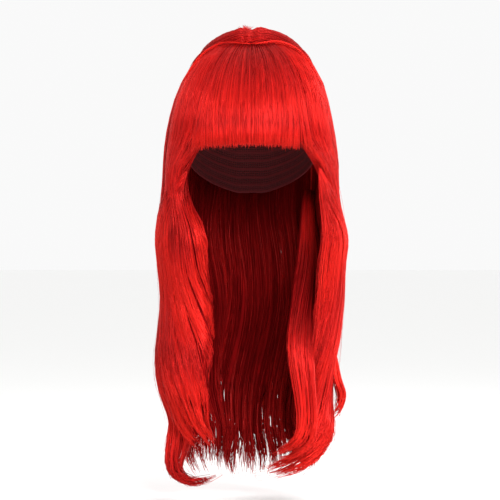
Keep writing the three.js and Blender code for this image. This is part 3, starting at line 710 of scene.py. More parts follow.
# A wave's painted light and shade bands lie this much lower at a lock's inner edge than at its outer one,
# but not below these levels
WAVE_SLANT = 0.15
SLANT_FADES = (1.5, 1.72)
# A strand's tint before the painted light and shade are added, how much the strands differ, and how much
# painted shade a lock's inner face takes
STRAND_TINT = 0.55
TINT_SCATTER = 0.13
CLUMP_TINT_SCATTER = 0.05
INNER_PAINTED_SHADE = 0.55

# Where the strands of a lock's outer and inner face start, as shares of its girth
OUTER_FACE = (-0.03, 0.53)
INNER_FACE = (0.5, 1.0)
# This share of the strands lies deep, and the others lie over them and draw together into clumps
UNDER_SHARE = 0.35
UNDER_RISE = (-1.5, -0.7)
OVER_RISE = (-1.0, 0.2)
CLUMP_DRAW = 0.6
CLUMP_CREST = 0.7 * MM
ROOT_SINK = 0.6 * MM
ROOT_SHARE = 0.08
# How far clumps and single strands wander, as shares of the girth
CLUMP_WANDER = 0.012
STRAND_WANDER = 0.006
# How much sooner the strands end between two wisps, and at most from wisp to wisp
SHORTER_BESIDE = 0.05
SHORTER_WISP = 0.04
# The strands are drawn wider near a lock's end, where they are fewer, and taper at the very tip
END_WIDER = 0.6
TIP_NARROWER = 0.6
# How high a strand's section is, as a share of its width
STRAND_HEIGHT = 0.45
THIN_STRAND_HEIGHT = 0.8


def laid_strands(points, out, widths, tints, rng, height=STRAND_HEIGHT):
    """Strands along rows of points, as wide and as light as given."""
    grid = strand_grid(points, out, widths, widths * height)
    return strands_to_mesh(grid, np.clip(tints, 0, 1), rng)


def lock_strands(rings, count, rng, hair, steps=21, tips=(0.86, 1.0), clumps=24, wisps=10, gather=0.6,
                 fray=1.0 * MM, outer_share=0.72, sweep=0.3, shading=SHADING, lighter=0.0,
                 inner_shade_between=(0.02, 0.35), inner_shade_fades_over=(1.68, 1.88), slanted=0.0):
    """Strands laid on a lock's surface, drawn together into wisps towards its ragged end."""
    normals = surface_normals(rings)
    outer = rng.random(count) < outer_share
    under = rng.random((count, 1)) < UNDER_SHARE
    u0 = np.where(outer, rng.uniform(*OUTER_FACE, count), rng.uniform(*INNER_FACE, count))[:, None]
    clump_places = np.sort(rng.uniform(0, 1, clumps))
    wisp_places = (np.arange(wisps) + rng.uniform(0.2, 0.8, wisps)) / wisps

    def offset_from(places):
        offsets = (u0 - places[None, :] + 0.5) % 1 - 0.5
        nearest = np.abs(offsets).argmin(axis=1)
        return offsets[np.arange(count), nearest][:, None], nearest

    from_clump, clump = offset_from(clump_places)
    from_wisp, wisp = offset_from(wisp_places)
    outside = np.minimum(np.abs(from_wisp) * 2 * wisps, 1)
    t = np.linspace(0, 1, steps)[None, :]
    last = tips[0] + (tips[1] - tips[0]) * rng.random((count, 1)) ** 0.6
    last = last - SHORTER_BESIDE * outside ** 2 - rng.uniform(0, SHORTER_WISP, wisps)[wisp][:, None]
    v = np.clip(last, 0, 1) * t
    sway = rng.uniform(0, 1, clumps)[clump][:, None]
    sways = rng.uniform(1.2, 2.2, clumps)[clump][:, None]
    wander = CLUMP_WANDER * np.sin(2 * math.pi * (sways * v + sway)) * smoothstep(v, 0.1, 0.4)
    own_sways = rng.uniform(1, 3, (count, 1))
    own = STRAND_WANDER * np.sin(2 * math.pi * (own_sways * v + rng.random((count, 1))))
    level = np.interp(v, np.linspace(0, 1, len(rings)), level_of(rings))
    u = u0 - from_clump * np.where(under, 0, CLUMP_DRAW) * smoothstep(v, 0.4, 0.9)
    u = u - from_wisp * gather * smoothstep(v, 0.8, 1.0)
    u = u + wander + own + sweep * read(SWEEP, "level", "turned", level)
    points, out = on_surface(rings, normals, u, v)
    rise = np.where(under, rng.uniform(*UNDER_RISE, (count, 1)), rng.uniform(*OVER_RISE, (count, 1))) * MM
    beside = np.minimum(np.abs(from_clump) * 2 * clumps, 1)
    crest = np.where(under, 0, CLUMP_CREST * (1 - beside ** 2)) * smoothstep(v, 0.2, 0.7)
    rooted = smoothstep(t, 0, ROOT_SHARE)
    lift = rise * rooted + crest - ROOT_SINK * (1 - rooted)
    loose = smoothstep(t, 0.88, 1.0) ** 2
    points = points + out * lift[..., None] + rng.normal(0, 1, (count, 1, 3)) * fray * loose[..., None]
    widths = hair.strand_width * rng.uniform(0.6, 1.4, (count, 1))
    widths = widths * (1 + END_WIDER * smoothstep(v, 0.65, 0.9))
    widths = widths * (1 - TIP_NARROWER * smoothstep(t, 0.9, 1))
    # Painted shade on the middle of each lock's inner face, fading out towards the lock's end
    inwards = 1 - np.abs(np.mod(u, 1) - 0.75) * 4
    painted_inner_shade = smoothstep(inwards, *inner_shade_between) * (1 - smoothstep(level, *inner_shade_fades_over))
    # Each lock's own painted light or shade (lighter) fades out below SLANT_FADES, then the wave's painted
    # light and shade is read along the slant
    upper = 1 - smoothstep(level, *SLANT_FADES)
    tints = STRAND_TINT + lighter * upper - INNER_PAINTED_SHADE * painted_inner_shade + rng.normal(0, TINT_SCATTER, (count, 1))
    slant = slanted * (1 - np.clip(u0 / 0.5, 0, 1) ** 2) * upper
    tints = tints + CLUMP_TINT_SCATTER * rng.normal(0, 1, clumps)[clump][:, None]
    tints = tints + read(shading, "level", "lighter", level - slant)
    return laid_strands(points, out, widths, tints, rng)


OVERLAY_STRANDS = 140
OVERLAY_STEPS = 16
OVERLAY_START_SPREAD = 0.07
OVERLAY_END_SPREAD = 0.12
OVERLAY_WANDER_TURN = 1.5
OVERLAY_TUCK = 2.0


def overlay_strands(rows, front_turn, rear_turn, shading, rng, hair):
    """A bundle that comes out from under a curtain's edge, flares out and runs down it, with the curtain's
    painted light and shade but no painted inner shade.
    """
    count = int(OVERLAY_STRANDS * hair.strand_share)
    t = np.linspace(0, 1, OVERLAY_STEPS)[None, :]
    first, last = rows["level"][0], rows["level"][-1]
    start = first + OVERLAY_START_SPREAD * rng.random((count, 1)) ** 1.5
    level = start + (last - OVERLAY_END_SPREAD * rng.random((count, 1)) - start) * t
    beside = rng.uniform(-1, 1, (count, 1))
    sways = rng.uniform(0.6, 1.4, (count, 1))
    wander = OVERLAY_WANDER_TURN * np.sin(2 * math.pi * (sways * t + rng.random((count, 1))))
    turn = read(rows, "level", "turn", level) + (beside * read(rows, "level", "half", level) + wander * t)
    lift = read(rows, "level", "lift", level) * (1 - 0.8 * beside ** 2) + rng.uniform(-0.6, 0.2, (count, 1))
    lift = lift - OVERLAY_TUCK * smoothstep(t, 0.85, 1)
    across = np.clip((turn - front_turn(level)) / (rear_turn(level) - front_turn(level)), 0, 0.5)
    outer_pull = edge_pull(across) * OUTER_PULL_BELOW
    sides = [a + (b - a) * outer_pull for a, b in zip(outline_at(level), inside_at(level))]
    points = point_at(turn, level, *[side + lift * MM for side in sides])
    above = point_at(turn, level, *[side + (lift + 1) * MM for side in sides])
    out = unit(above - points)
    widths = hair.strand_width * rng.uniform(0.6, 1.2, (count, 1)) * (1 - 0.8 * smoothstep(t, 0.8, 1))
    slant = WAVE_SLANT * (1 - (across / 0.5) ** 2)
    tints = rng.normal(STRAND_TINT, TINT_SCATTER, (count, 1))
    tints = tints + read(shading, "level", "lighter", level - slant)
    return laid_strands(points, out, widths, tints, rng)


FLYAWAY_STEPS = 10
FLYAWAY_LENGTH = (0.12, 0.35)
FLYAWAY_FROM = (0.25, 0.85)
FLYAWAY_FACE = (0.0, 0.5)
FLYAWAY_REACH = 5 * MM
FLYAWAY_WIDTH = 0.35 * MM


def flyaways(rings, count, rng, hair):
    """Thin single strands that stand off the lock's outside and come back to it."""
    normals = surface_normals(rings)
    t = np.linspace(0, 1, FLYAWAY_STEPS)[None, :]
    length = rng.uniform(*FLYAWAY_LENGTH, (count, 1))
    v0 = rng.uniform(*FLYAWAY_FROM, (count, 1))
    v = np.minimum(v0 + length * t, 1.0)
    u = rng.uniform(*FLYAWAY_FACE, (count, 1)) + 0.03 * rng.normal(0, 1, (count, 1)) * t
    points, out = on_surface(rings, normals, u, v)
    bow = np.sin(math.pi * np.minimum(t * rng.uniform(0.6, 1.0, (count, 1)), 1))
    lift = FLYAWAY_REACH * rng.uniform(0.3, 1.0, (count, 1)) * bow
    points = points + out * lift[..., None]
    widths = np.full((count, FLYAWAY_STEPS), FLYAWAY_WIDTH) * (1 - 0.6 * t)
    tints = rng.uniform(0.4, 0.9, count)
    return laid_strands(points, out, widths, tints, rng, THIN_STRAND_HEIGHT)


# The cores under the strands are painted nearly the shade colour: painted shade of the deep hair between
# the strands
CORE_TINT = 0.05
CURTAIN_CORE_DEPTH = 2.0 * MM
# A core's end along its lock, the share of that where it starts to slim, and its width at the end
CORE_TAPER = (0.93, 0.76, 0.06)
FRONT_CORE_TAPER = (0.97, 0.86, 0.06)
BACK_CORE_TAPER = (0.9, 0.78, 0.35)


def sunk(rings, depth, end, slim_from, tip):
    """A lock's sections drawn in by a depth and slimmed at the end, for its strands to cover."""
    normals = surface_normals(rings)
    centres = rings.mean(axis=1, keepdims=True)
    size = np.linalg.norm(rings - centres, axis=2, keepdims=True)
    drawn = rings - normals * np.minimum(depth, 0.45 * size)
    kept = int(end * len(rings))
    slim = 1 - (1 - tip) * smoothstep(np.linspace(0, 1, kept), slim_from, 1)[:, None, None]
    return centres[:kept] + (drawn[:kept] - centres[:kept]) * slim


# The bundles that come over the curtains from their front edges: turns, and lifts in millimetres
OVERLAY_COLUMNS = "level turn half lift"
LEFT_OVERLAY = table(
    OVERLAY_COLUMNS,
    (1.07, -49, 1, -1.0),
    (1.11, -57, 6, 0.8),
    (1.15, -67, 12, 1.4),
    (1.2, -76, 17, 1.8),
    (1.3, -79, 20, 1.6),
    (1.45, -76, 20, 1.4),
    (1.6, -69, 18, 1.2),
    (1.74, -60, 15, 0.8),
)
RIGHT_OVERLAY = table(
    OVERLAY_COLUMNS,
    (1.06, 54, 1, -1.0),
    (1.1, 60, 7, 0.8),
    (1.16, 68, 14, 1.4),
    (1.25, 74, 22, 1.8),
    (1.4, 73, 23, 1.6),
    (1.55, 67, 20, 1.4),
    (1.65, 62, 17, 1.0),
    (1.74, 57, 15, 0.6),
)

# The back locks' inner faces are painted with the shade of the whole wig, from edge to edge, as painted
# shade
BACK_STRANDS = dict(
    outer_share=0.5, gather=0.3, inner_shade_between=(-0.15, 0.1), inner_shade_fades_over=(1.85, 2.1),
    tips=(0.95, 1.0), shading=BACK_SHADING)

# The curtain's locks: their edges, last level and free end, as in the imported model, then the number
# of their strands, the settings of lock_strands, and what else lies on them
CURTAIN_LOCKS = {
    "left_front": dict(
        front=curtain_edge(LEFT_CURTAIN_EDGE, FRINGE_LEFT_TURN), rear=boundary(LEFT_FRONT_REAR_TURN),
        last=1.77, end=LEFT_FRONT_END, count=980, core=FRONT_CORE_TAPER, overlay=LEFT_OVERLAY, seed=11,
        strands=dict(sweep=1.0, wisps=9, gather=0.8, tips=(0.93, 1.0), slanted=WAVE_SLANT)),
    "left_side": dict(
        front=boundary(LEFT_FRONT_REAR_TURN), rear=boundary(LEFT_SIDE_REAR_TURN),
        last=1.76, end=LEFT_TAIL, count=520, seed=12, strands=dict(steps=30, shading=TAIL_SHADING)),
    "left_back": dict(
        front=boundary(LEFT_SIDE_REAR_TURN), rear=boundary(LEFT_BACK_REAR_TURN),
        last=1.86, end=LEFT_BACK_END, count=480, core=BACK_CORE_TAPER, seed=13,
        strands=dict(BACK_STRANDS, wisps=24)),
    "right_front": dict(
        front=curtain_edge(RIGHT_CURTAIN_EDGE, FRINGE_RIGHT_TURN), rear=boundary(RIGHT_FRONT_REAR_TURN),
        last=1.77, end=RIGHT_FRONT_END, count=900, overlay=RIGHT_OVERLAY, seed=14,
        strands=dict(
            steps=24, sweep=1.0, shading=RIGHT_SHADING, tips=(0.82, 0.98), slanted=0.5 * WAVE_SLANT)),
    "right_side": dict(
        front=boundary(RIGHT_FRONT_REAR_TURN), rear=boundary(RIGHT_SIDE_REAR_TURN),
        last=1.78, end=RIGHT_SIDE_END, count=500, seed=15, strands=dict(shading=RIGHT_SHADING)),
    "right_back": dict(
        front=boundary(RIGHT_SIDE_REAR_TURN), rear=boundary(RIGHT_BACK_REAR_TURN),
        last=1.86, end=RIGHT_BACK_END, count=480, core=BACK_CORE_TAPER, seed=16,
        strands=dict(BACK_STRANDS, wisps=24)),
    "back_middle": dict(
        front=boundary(RIGHT_BACK_REAR_TURN),
        rear=lambda level: 360 + boundary(LEFT_BACK_REAR_TURN)(level),
        last=1.88, end=BACK_MIDDLE_END, count=640, core=BACK_CORE_TAPER, seed=17,
        strands=dict(BACK_STRANDS, wisps=30)),
}
ROWS_ALONG_CURTAIN = 72


def build_curtain_lock(key, context):
    hair = context.scene.wig_hair
    shape = CURTAIN_LOCKS[key]
    rings = curtain_rings(shape["front"], shape["rear"], shape["last"], shape["end"])
    rings = even_rings(rings, ROWS_ALONG_CURTAIN)
    rng = np.random.default_rng(shape["seed"])
    parts = [
        core_mesh(sunk(rings, CURTAIN_CORE_DEPTH, *shape.get("core", CORE_TAPER)), CORE_TINT),
        lock_strands(rings, int(shape["count"] * hair.strand_share), rng, hair, **shape["strands"]),
        flyaways(rings, hair.flyaways, rng, hair),
    ]
    if "overlay" in shape:
        shading = shape["strands"].get("shading", SHADING)
        parts.append(overlay_strands(shape["overlay"], shape["front"], shape["rear"], shading, rng, hair))
    piece = make_piece(key + "_hair", parts, hair_material(hair))
    place_piece(piece, key + "_lock")


FREE_STRANDS = dict(steps=19, clumps=9, wisps=6, gather=0.7, sweep=0.0)
FREE_LOCKS = {
    # The inner lock's upper part is painted darker: painted shade where it lies back among the hair
    "right_inner": dict(
        rows=RIGHT_INNER_LOCK, node="right_inner_lock", count=320, depth=1.6 * MM, seed=21,
        strands=dict(FREE_STRANDS, lighter=-0.45, tips=(0.9, 1.0), shading=RIGHT_SHADING)),
    "right_outer": dict(
        rows=RIGHT_OUTER_CURL, node="right_outer_curl", count=80, depth=3.0 * MM, seed=22,
        strands=dict(FREE_STRANDS, tips=(0.7, 1.0), fray=2.6 * MM, shading=CURL_SHADING)),
}
ROWS_ALONG_FREE_LOCK = 60


def build_free_lock(key, context):
    hair = context.scene.wig_hair
    shape = FREE_LOCKS[key]
    rings = even_rings(np.array(swept_rings(shape["rows"], 1, ROWS_ALONG_FREE_LOCK)), ROWS_ALONG_FREE_LOCK)
    rng = np.random.default_rng(shape["seed"])
    parts = [
        core_mesh(sunk(rings, shape["depth"], *CORE_TAPER), CORE_TINT),
        lock_strands(rings, int(shape["count"] * hair.strand_share), rng, hair, **shape["strands"]),
    ]
    piece = make_piece(key + "_hair", parts, hair_material(hair))
    place_piece(piece, shape["node"])


def hair_material(hair):
    name = "Modacrylic wig fibre, drawn and combed"
    found = bpy.data.materials.get(name)
    if found:
        return found
    colours = hair.fibre_colour, hair.shade_colour, hair.bright_colour
    return fibre_material(name, *[tuple(colour) for colour in colours])


# Fringe

FRINGE_THINS_FROM = 0.75
FRINGE_STRANDS = 1400
FRINGE_STEPS = 13
FRINGE_CORE_ENDS = 0.96
FRINGE_TINT = 0.5
# How far the strands' roots are scattered across, and how the ones at the temples sweep outwards
FRINGE_FAN = 0.03
FRINGE_WANDER = 0.008
TEMPLE_SWEEP = 0.13
# How uneven the scissors' cut is
CUT_SCATTER = 0.006
CUT_SHORTER = 0.012
# Painted light and shade: darker at the root, a painted highlight where the fringe bulges over the
# forehead, and lightest at its cut
FRINGE_SHADING = table(
    "share lighter",
    (0.0, -0.25), (0.2, -0.2), (0.42, -0.1), (0.55, 0.02), (0.66, 0.12), (0.74, 0.05), (0.82, -0.1),
    (0.92, 0.2), (1.0, 0.55),
)


def fringe_grids(across, share):
    """The fringe's outer and inner face at places across it, -1 to 1, and down it, 0 to 1."""
    middle_turn = 0.5 * (FRINGE_LEFT_TURN + FRINGE_RIGHT_TURN)
    half_turn = 0.5 * (FRINGE_RIGHT_TURN - FRINGE_LEFT_TURN)
    turn = middle_turn + across * half_turn
    drop = FRINGE_DROP - FRINGE_ARCH * (1 - across * across)
    up = HAIR_BODY * float(read(OUTLINE, "level", "front", 1.0))
    below = np.maximum(drop - HEAD_HALF_HEIGHT, 0)
    above = HEAD_HALF_HEIGHT - drop + below
    last = np.arccos(above / (CAP_HEIGHT + up)) / (math.pi / 2) + below / FALL_LENGTH
    top = ridge_level(turn)
    level = top + (last - top) * share
    end_in = smoothstep(share, FRINGE_THINS_FROM, 1) * (1 - smoothstep(np.abs(across), 0.88, 1.06))
    at_end = SEAT_GAP + FRINGE_END_WALL + 1.6 * MM
    outline = [side + (at_end - side) * end_in for side in outline_at(level)]
    outer = point_at(turn, level, *outline)
    inner = point_at(turn, level, *[SEAT_GAP + 0 * level] * 4)
    return outer, inner


def build_fringe(context):
    hair = context.scene.wig_hair
    rng = np.random.default_rng(31)
    u = np.linspace(-1, 1, 40)[None, :]
    share = np.linspace(0, FRINGE_CORE_ENDS, 30)[:, None]
    outer, inner = fringe_grids(u + 0 * share, share + 0 * u)
    out = unit(outer - inner)
    rings = np.concatenate([outer - out * 1.2 * MM, (inner + out * 0.4 * MM)[:, ::-1]], axis=1)
    count = int(FRINGE_STRANDS * hair.strand_share)
    t = np.linspace(0, 1, FRINGE_STEPS)[None, :]
    across0 = rng.uniform(-1.03, 1.03, (count, 1))
    temple = smoothstep(np.abs(across0), 0.72, 1.0)
    fan = rng.normal(0, FRINGE_FAN, (count, 1))
    sways = rng.uniform(0.5, 1.5, (count, 1))
    wander = FRINGE_WANDER * np.sin(2 * math.pi * (t * sways + rng.random((count, 1))))
    across = across0 + fan * (1 - t) ** 2 + wander + TEMPLE_SWEEP * np.sign(across0) * temple * t ** 2
    start = rng.uniform(-0.02, 0.04, (count, 1))
    finish = 1 + rng.normal(0, CUT_SCATTER, (count, 1)) - CUT_SHORTER * rng.random((count, 1))
    share = start + (finish - start) * t
    outer, inner = fringe_grids(across, share)
    out = unit(outer - inner)
    layer = rng.random((count, 1))
    lift = (-1.5 + 1.7 * layer) * MM - 0.4 * MM * smoothstep(t, 0.85, 1.0) * (1 - layer)
    points = outer + out * lift[..., None]
    widths = hair.strand_width * rng.uniform(0.5, 1.2, (count, 1)) * (1 - 0.5 * smoothstep(t, 0.93, 1))
    tints = rng.normal(FRINGE_TINT, TINT_SCATTER, (count, 1))
    tints = tints + read(FRINGE_SHADING, "share", "lighter", share)
    parts = [core_mesh(rings, CORE_TINT), laid_strands(points, out, widths, tints, rng)]
    piece = make_piece("fringe_hair", parts, hair_material(hair))
    place_piece(piece, "fringe")


# Crown

# The back-combed hair rises and sinks a little this many times round the crown
FURROWS = 5
FURROW_DEPTH = 0.05


def crown_surface(across, back, lift):
    """A point of the crown at a place on its round plan, both -1 to 1, lifted off its surface."""
    turn = np.degrees(np.arctan2(across, -back))
    share = np.hypot(across, back)
    on = np.minimum(share, 1)
    ripple = np.cos(np.radians(FURROWS * turn)) * np.sin(math.pi * on)
    furrow = 1 - FURROW_DEPTH * ripple
    rim = ridge_level(turn)
    beyond = smoothstep(share, 0.9, 1.1)
    level = rim * on + np.maximum(share - 1, 0) * 0.4
    sides = []
    for name, hair_side in zip(SIDES, outline_at(np.maximum(level, 0.2))):
        crown_side = CROWN_RISE * furrow * read(CROWN_FORM, "share", name, on)
        sides.append(crown_side * (1 - beyond) + hair_side * beyond + lift)
    return point_at(turn, level, *sides)


# The crease is the line that the crown's hair is combed away from, and the hollow is beside it
CREASE_ACROSS = -0.16
CREASE_DEPTH = 1.8 * MM
CREASE_HALF_WIDTH = 0.08
CREASE_SCATTER = 0.035
HOLLOW_ACROSS = 0.05
HOLLOW_HALF_WIDTH = 0.12
HOLLOW_DEPTH = 2.2 * MM
DRAPE_FROM_TURN = 58
LAST_TURN = 182
CROWN_TINT = 0.46
CROWN_TINT_SCATTER = 0.12
# The crown's sides, over its front half, are painted darker: painted shade where they turn away from the
# light
CROWN_SHADE_ACROSS = (0.15, 0.7)
CROWN_SIDE_SHADE = 0.16
CROWN_STRANDS = 1200
CROWN_STEPS = 18
CROWN_LEFT_SHARE = 0.45
# The share of a strand that lies on the crown, before it drapes over the curtain
ON_CROWN = 0.72
# The middle of a strand lies this share of the way out from the crease
STRAND_MIDDLE = 0.72


def crease_dip(across, back):
    """How far the crown sinks at its crease, which runs back from the ridge to past the top."""
    beside = np.exp(-((across - CREASE_ACROSS) / CREASE_HALF_WIDTH) ** 2)
    hollow = np.exp(-((across - HOLLOW_ACROSS) / HOLLOW_HALF_WIDTH) ** 2)
    return -CREASE_DEPTH * beside * (1 - smoothstep(back, -0.1, 0.35)) - HOLLOW_DEPTH * hollow


def crown_path(start, side, t, scatter):
    """Places along a strand that leaves the crease at a share of its length, for one side."""
    start_across = CREASE_ACROSS + scatter
    back0 = -0.97 + 1.25 * start
    end_turn = np.radians(DRAPE_FROM_TURN + (LAST_TURN - DRAPE_FROM_TURN) * start ** 0.9)
    end_across, end_back = side * np.sin(end_turn), -np.cos(end_turn)
    bend = 0.3 * start
    middle_across = start_across + STRAND_MIDDLE * (end_across - start_across)
    middle_back = back0 + bend * (end_back - back0)
    a, b, c = (1 - t) ** 2, 2 * t * (1 - t), t ** 2
    across = a * start_across + b * middle_across + c * end_across
    back = a * back0 + b * middle_back + c * end_back
    return across, back


def build_crown(context):
    hair = context.scene.wig_hair
    rng = np.random.default_rng(41)
    turns = np.radians(np.linspace(0, 360, 64, endpoint=False))[None, :]
    down = np.linspace(0.03, 0.99, 22)[:, None]
    core_across, core_back = down * np.sin(turns), -down * np.cos(turns)
    outer = crown_surface(core_across, core_back, -1.6 * MM + crease_dip(core_across, core_back))
    level = ridge_level(np.degrees(turns)) * down
    inner = point_at(np.degrees(turns), level, *[SEAT_GAP + 0 * level] * 4)
    core = core_mesh(np.concatenate([outer, inner[::-1]], axis=0), CORE_TINT)
    count = int(CROWN_STRANDS * hair.strand_share)
    t = np.linspace(0, 1, CROWN_STEPS)[None, :]
    start = rng.random((count, 1)) ** 0.85
    side = np.where(rng.random((count, 1)) < CROWN_LEFT_SHARE, -1.0, 1.0)
    inside = np.minimum(t / ON_CROWN, 1)
    beyond = np.maximum(t - ON_CROWN, 0) / (1 - ON_CROWN)
    scatter = CREASE_SCATTER * rng.normal(0, 1, (count, 1)) - side * CREASE_SCATTER
    across, back = crown_path(start, side, inside, scatter)
    drape = (0.1 + 0.25 * rng.random((count, 1))) * beyond
    growth = 1 + drape / np.maximum(np.hypot(across, back), 1e-3)
    wander = 0.015 * np.sin(math.pi * inside) * rng.normal(0, 1, (count, 1))
    across, back = across * growth + wander, back * growth - wander * side
    layer = rng.random((count, 1))
    tucked = smoothstep(beyond, 0.5, 1.0) * 1.6 * MM
    lift = (-1.4 + 1.7 * layer) * MM - tucked + crease_dip(across, back)
    points = crown_surface(across, back, lift)
    out = unit(crown_surface(across, back, lift + 1 * MM) - points)
    widths = hair.strand_width * rng.uniform(0.6, 1.3, (count, 1)) * (1 - 0.8 * smoothstep(t, 0.75, 1))
    # Painted shade on the crown's sides, over its front half
    sideways = smoothstep(np.abs(across), *CROWN_SHADE_ACROSS) * (1 - smoothstep(back, 0.0, 0.5))
    tints = rng.normal(CROWN_TINT, CROWN_TINT_SCATTER, (count, 1)) - CROWN_SIDE_SHADE * sideways
    strands = laid_strands(points, out, widths, tints, rng)
    parts = [core, strands, ridge_roll(rng, hair), crown_tuft(rng)]
    piece = make_piece("crown_hair", parts, hair_material(hair))
    place_piece(piece, "crown")


# The hair rolls over the ridge in real strands, and their light tints are a painted highlight that shows as
# a light line running down behind the temples
RIDGE_ROLL = table(
    "share left right level lift",
    (0.0, -2, 2, 0.195, 1.0),
    (0.3, -28, 26, 0.215, 1.4),
    (0.55, -52, 48, 0.255, 1.4),
    (0.75, -64, 62, 0.36, 1.2),
    (0.88, -69, 67, 0.48, 0.8),
    (1.0, -73, 70, 0.62, -0.6),
)
ROLL_STRANDS = 150
ROLL_STEPS = 18
ROLL_HALF_WIDTH = 0.006
ROLL_ROUND = 60 * MM
ROLL_TUCK = 1.5 * MM


def ridge_roll(rng, hair):
    """Strands that run along the ridge from its middle to both sides."""
    size = (ROLL_STRANDS, 1)
    t = np.linspace(0, 1, ROLL_STEPS)[None, :]
    left = rng.random(size) < 0.5
    first = rng.uniform(-0.12, 0.5, size)
    way = np.clip(first + (rng.uniform(0.45, 1.0, size) - first * 0.3) * t, 0, 1)
    turn = np.where(left, read(RIDGE_ROLL, "share", "left", way), read(RIDGE_ROLL, "share", "right", way))
    spread = rng.normal(0, ROLL_HALF_WIDTH, size)
    level = read(RIDGE_ROLL, "share", "level", way) + spread
    round_off = -ROLL_ROUND * spread ** 2 / ROLL_HALF_WIDTH
    lift = read(RIDGE_ROLL, "share", "lift", way) * MM + round_off + rng.uniform(-0.5, 0.2, size) * MM
    lift = lift - ROLL_TUCK * (1 - smoothstep(t, 0, 0.12)) - ROLL_TUCK * smoothstep(t, 0.85, 1)
    outline = outline_at(level)
    points = point_at(turn, level, *[column + lift for column in outline])
    out = unit(point_at(turn, level, *[column + lift + MM for column in outline]) - points)
    widths = hair.strand_width * rng.uniform(0.6, 1.1, size) * (1 - 0.7 * smoothstep(t, 0.8, 1))
    # The roll's strands are painted light: a painted highlight
    return laid_strands(points, out, widths, rng.uniform(0.6, 1.0, ROLL_STRANDS), rng)


TUFT_STRANDS = 110
TUFT_STEPS = 6
TUFT_LENGTH = (3.5, 6.5)
TUFT_ROOT_DEPTH = 3.5 * MM
TUFT_WIDTH = 0.4 * MM


def crown_tuft(rng):
    """Short rough ends that stand up where the crease meets the crown's top."""
    size = (TUFT_STRANDS, 1)
    t = np.linspace(0, 1, TUFT_STEPS)[None, :]
    back = rng.uniform(-0.35, 0.05, size)
    across = CREASE_ACROSS + rng.uniform(-0.05, 0.12, size)
    lean = rng.normal(0, 0.05, size)
    length = rng.uniform(*TUFT_LENGTH, size) * MM
    points = crown_surface(across + lean * t, back + 0.03 * t, -TUFT_ROOT_DEPTH + length * t)
    sideways = np.broadcast_to(np.array([0.0, -1.0, 0.0]), points.shape)
    widths = TUFT_WIDTH * (1 - 0.6 * t) + 0 * points[..., 0]
    tints = rng.uniform(0.3, 0.8, TUFT_STRANDS)
    return laid_strands(points, sideways, widths, tints, rng, THIN_STRAND_HEIGHT)


# Cap

CAP_EDGE = table(
    "turn front side nape",
    (0, 1, 0, 0), (40, 0.9, 0.1, 0), (65, 0.5, 0.5, 0),
    (95, 0, 1, 0), (130, 0, 0.35, 0.65), (165, 0, 0.01, 0.99), (180, 0, 0, 1),
)


def cap_edge_drop(turn):
    turn = np.abs((np.asarray(turn, float) + 180) % 360 - 180)
    share = {name: read(CAP_EDGE, "turn", name, turn) for name in ("front", "side", "nape")}
    return (
        share["front"] * CAP_FRONT_DROP + share["side"] * CAP_SIDE_DROP + share["nape"] * CAP_NAPE_DROP
    )


# The net's map runs once round the cap and once down it
NET_ROUND = 2 * math.pi * (CAP_SIDE + CAP_LENGTH) / 2
NET_DOWN = 0.5 * math.pi * CAP_HEIGHT + CAP_SIDE_DROP / 2
NET_ROUGHNESS = 0.85
NET_RELIEF = 0.5 * MM
NET_RELIEF_STRENGTH = 0.7
HOLE_DARKNESS = 0.3
NET_MESH = 2.4 * MM
WEFT_SPACING = 9 * MM
HEM_WIDTH = 7 * MM


# Knitted nylon net, dyed to match: matt, with fine dark holes, a plain hem and rows of stitched weft
def net_material(colour):
    material, tree = new_material("Knitted nylon net, dyed")
    output = add_node(tree, "ShaderNodeOutputMaterial")
    uv = add_node(tree, "ShaderNodeUVMap", {"uv_map": "UVMap"})
    laid = add_node(
        tree, "ShaderNodeMapping", {"Scale": (NET_ROUND / NET_MESH, NET_DOWN / NET_MESH, 1)},
        {"Vector": uv.outputs["UV"]})
    holes = add_node(
        tree, "ShaderNodeTexVoronoi", {"voronoi_dimensions": "2D", "Scale": 1.0, "Randomness": 0.2},
        {"Vector": laid.outputs["Vector"]})
    threads = add_node(
        tree, "ShaderNodeMapRange", {"From Min": 0.3, "From Max": 0.5},
        {"Value": holes.outputs["Distance"]})
    split = add_node(tree, "ShaderNodeSeparateXYZ", {}, {"Vector": uv.outputs["UV"]})
    rows = add_node(
        tree, "ShaderNodeMath", {"operation": "MULTIPLY", 1: NET_DOWN / WEFT_SPACING},
        {0: split.outputs["Y"]})
    in_row = add_node(tree, "ShaderNodeMath", {"operation": "PINGPONG", 1: 0.5}, {0: rows.outputs["Value"]})
    weft = add_node(
        tree, "ShaderNodeMapRange", {"From Min": 0.3, "From Max": 0.4}, {"Value": in_row.outputs["Value"]})
    hem = add_node(
        tree, "ShaderNodeMath", {"operation": "LESS_THAN", 1: HEM_WIDTH / NET_DOWN},
        {0: split.outputs["Y"]})
    solid = add_node(
        tree, "ShaderNodeMath", {"operation": "MAXIMUM"},
        {0: weft.outputs["Result"], 1: hem.outputs["Value"]})
    covered = add_node(
        tree, "ShaderNodeMath", {"operation": "MAXIMUM"},
        {0: threads.outputs["Result"], 1: solid.outputs["Value"]})
    ramp = add_node(tree, "ShaderNodeValToRGB", {}, {"Fac": covered.outputs["Value"]})
    ramp.color_ramp.elements[0].color = (*[c * HOLE_DARKNESS for c in colour], 1)
    ramp.color_ramp.elements[1].color = (*colour, 1)
    bump = add_node(
        tree, "ShaderNodeBump", {"Strength": NET_RELIEF_STRENGTH, "Distance": NET_RELIEF},
        {"Height": covered.outputs["Value"]})
    shader = add_node(
        tree, "ShaderNodeBsdfPrincipled", {"Roughness": NET_ROUGHNESS},
        {"Base Color": ramp.outputs["Color"], "Normal": bump.outputs["Normal"]})
    tree.links.new(shader.outputs["BSDF"], output.inputs["Surface"])
    return material


CAP_SEGMENTS = 72
CAP_RINGS = 44
NET_THICKNESS = 0.9
SMOOTH_BELOW = math.radians(40)


def deselect_all():
    for item in bpy.context.view_layer.objects:
        item.select_set(False)


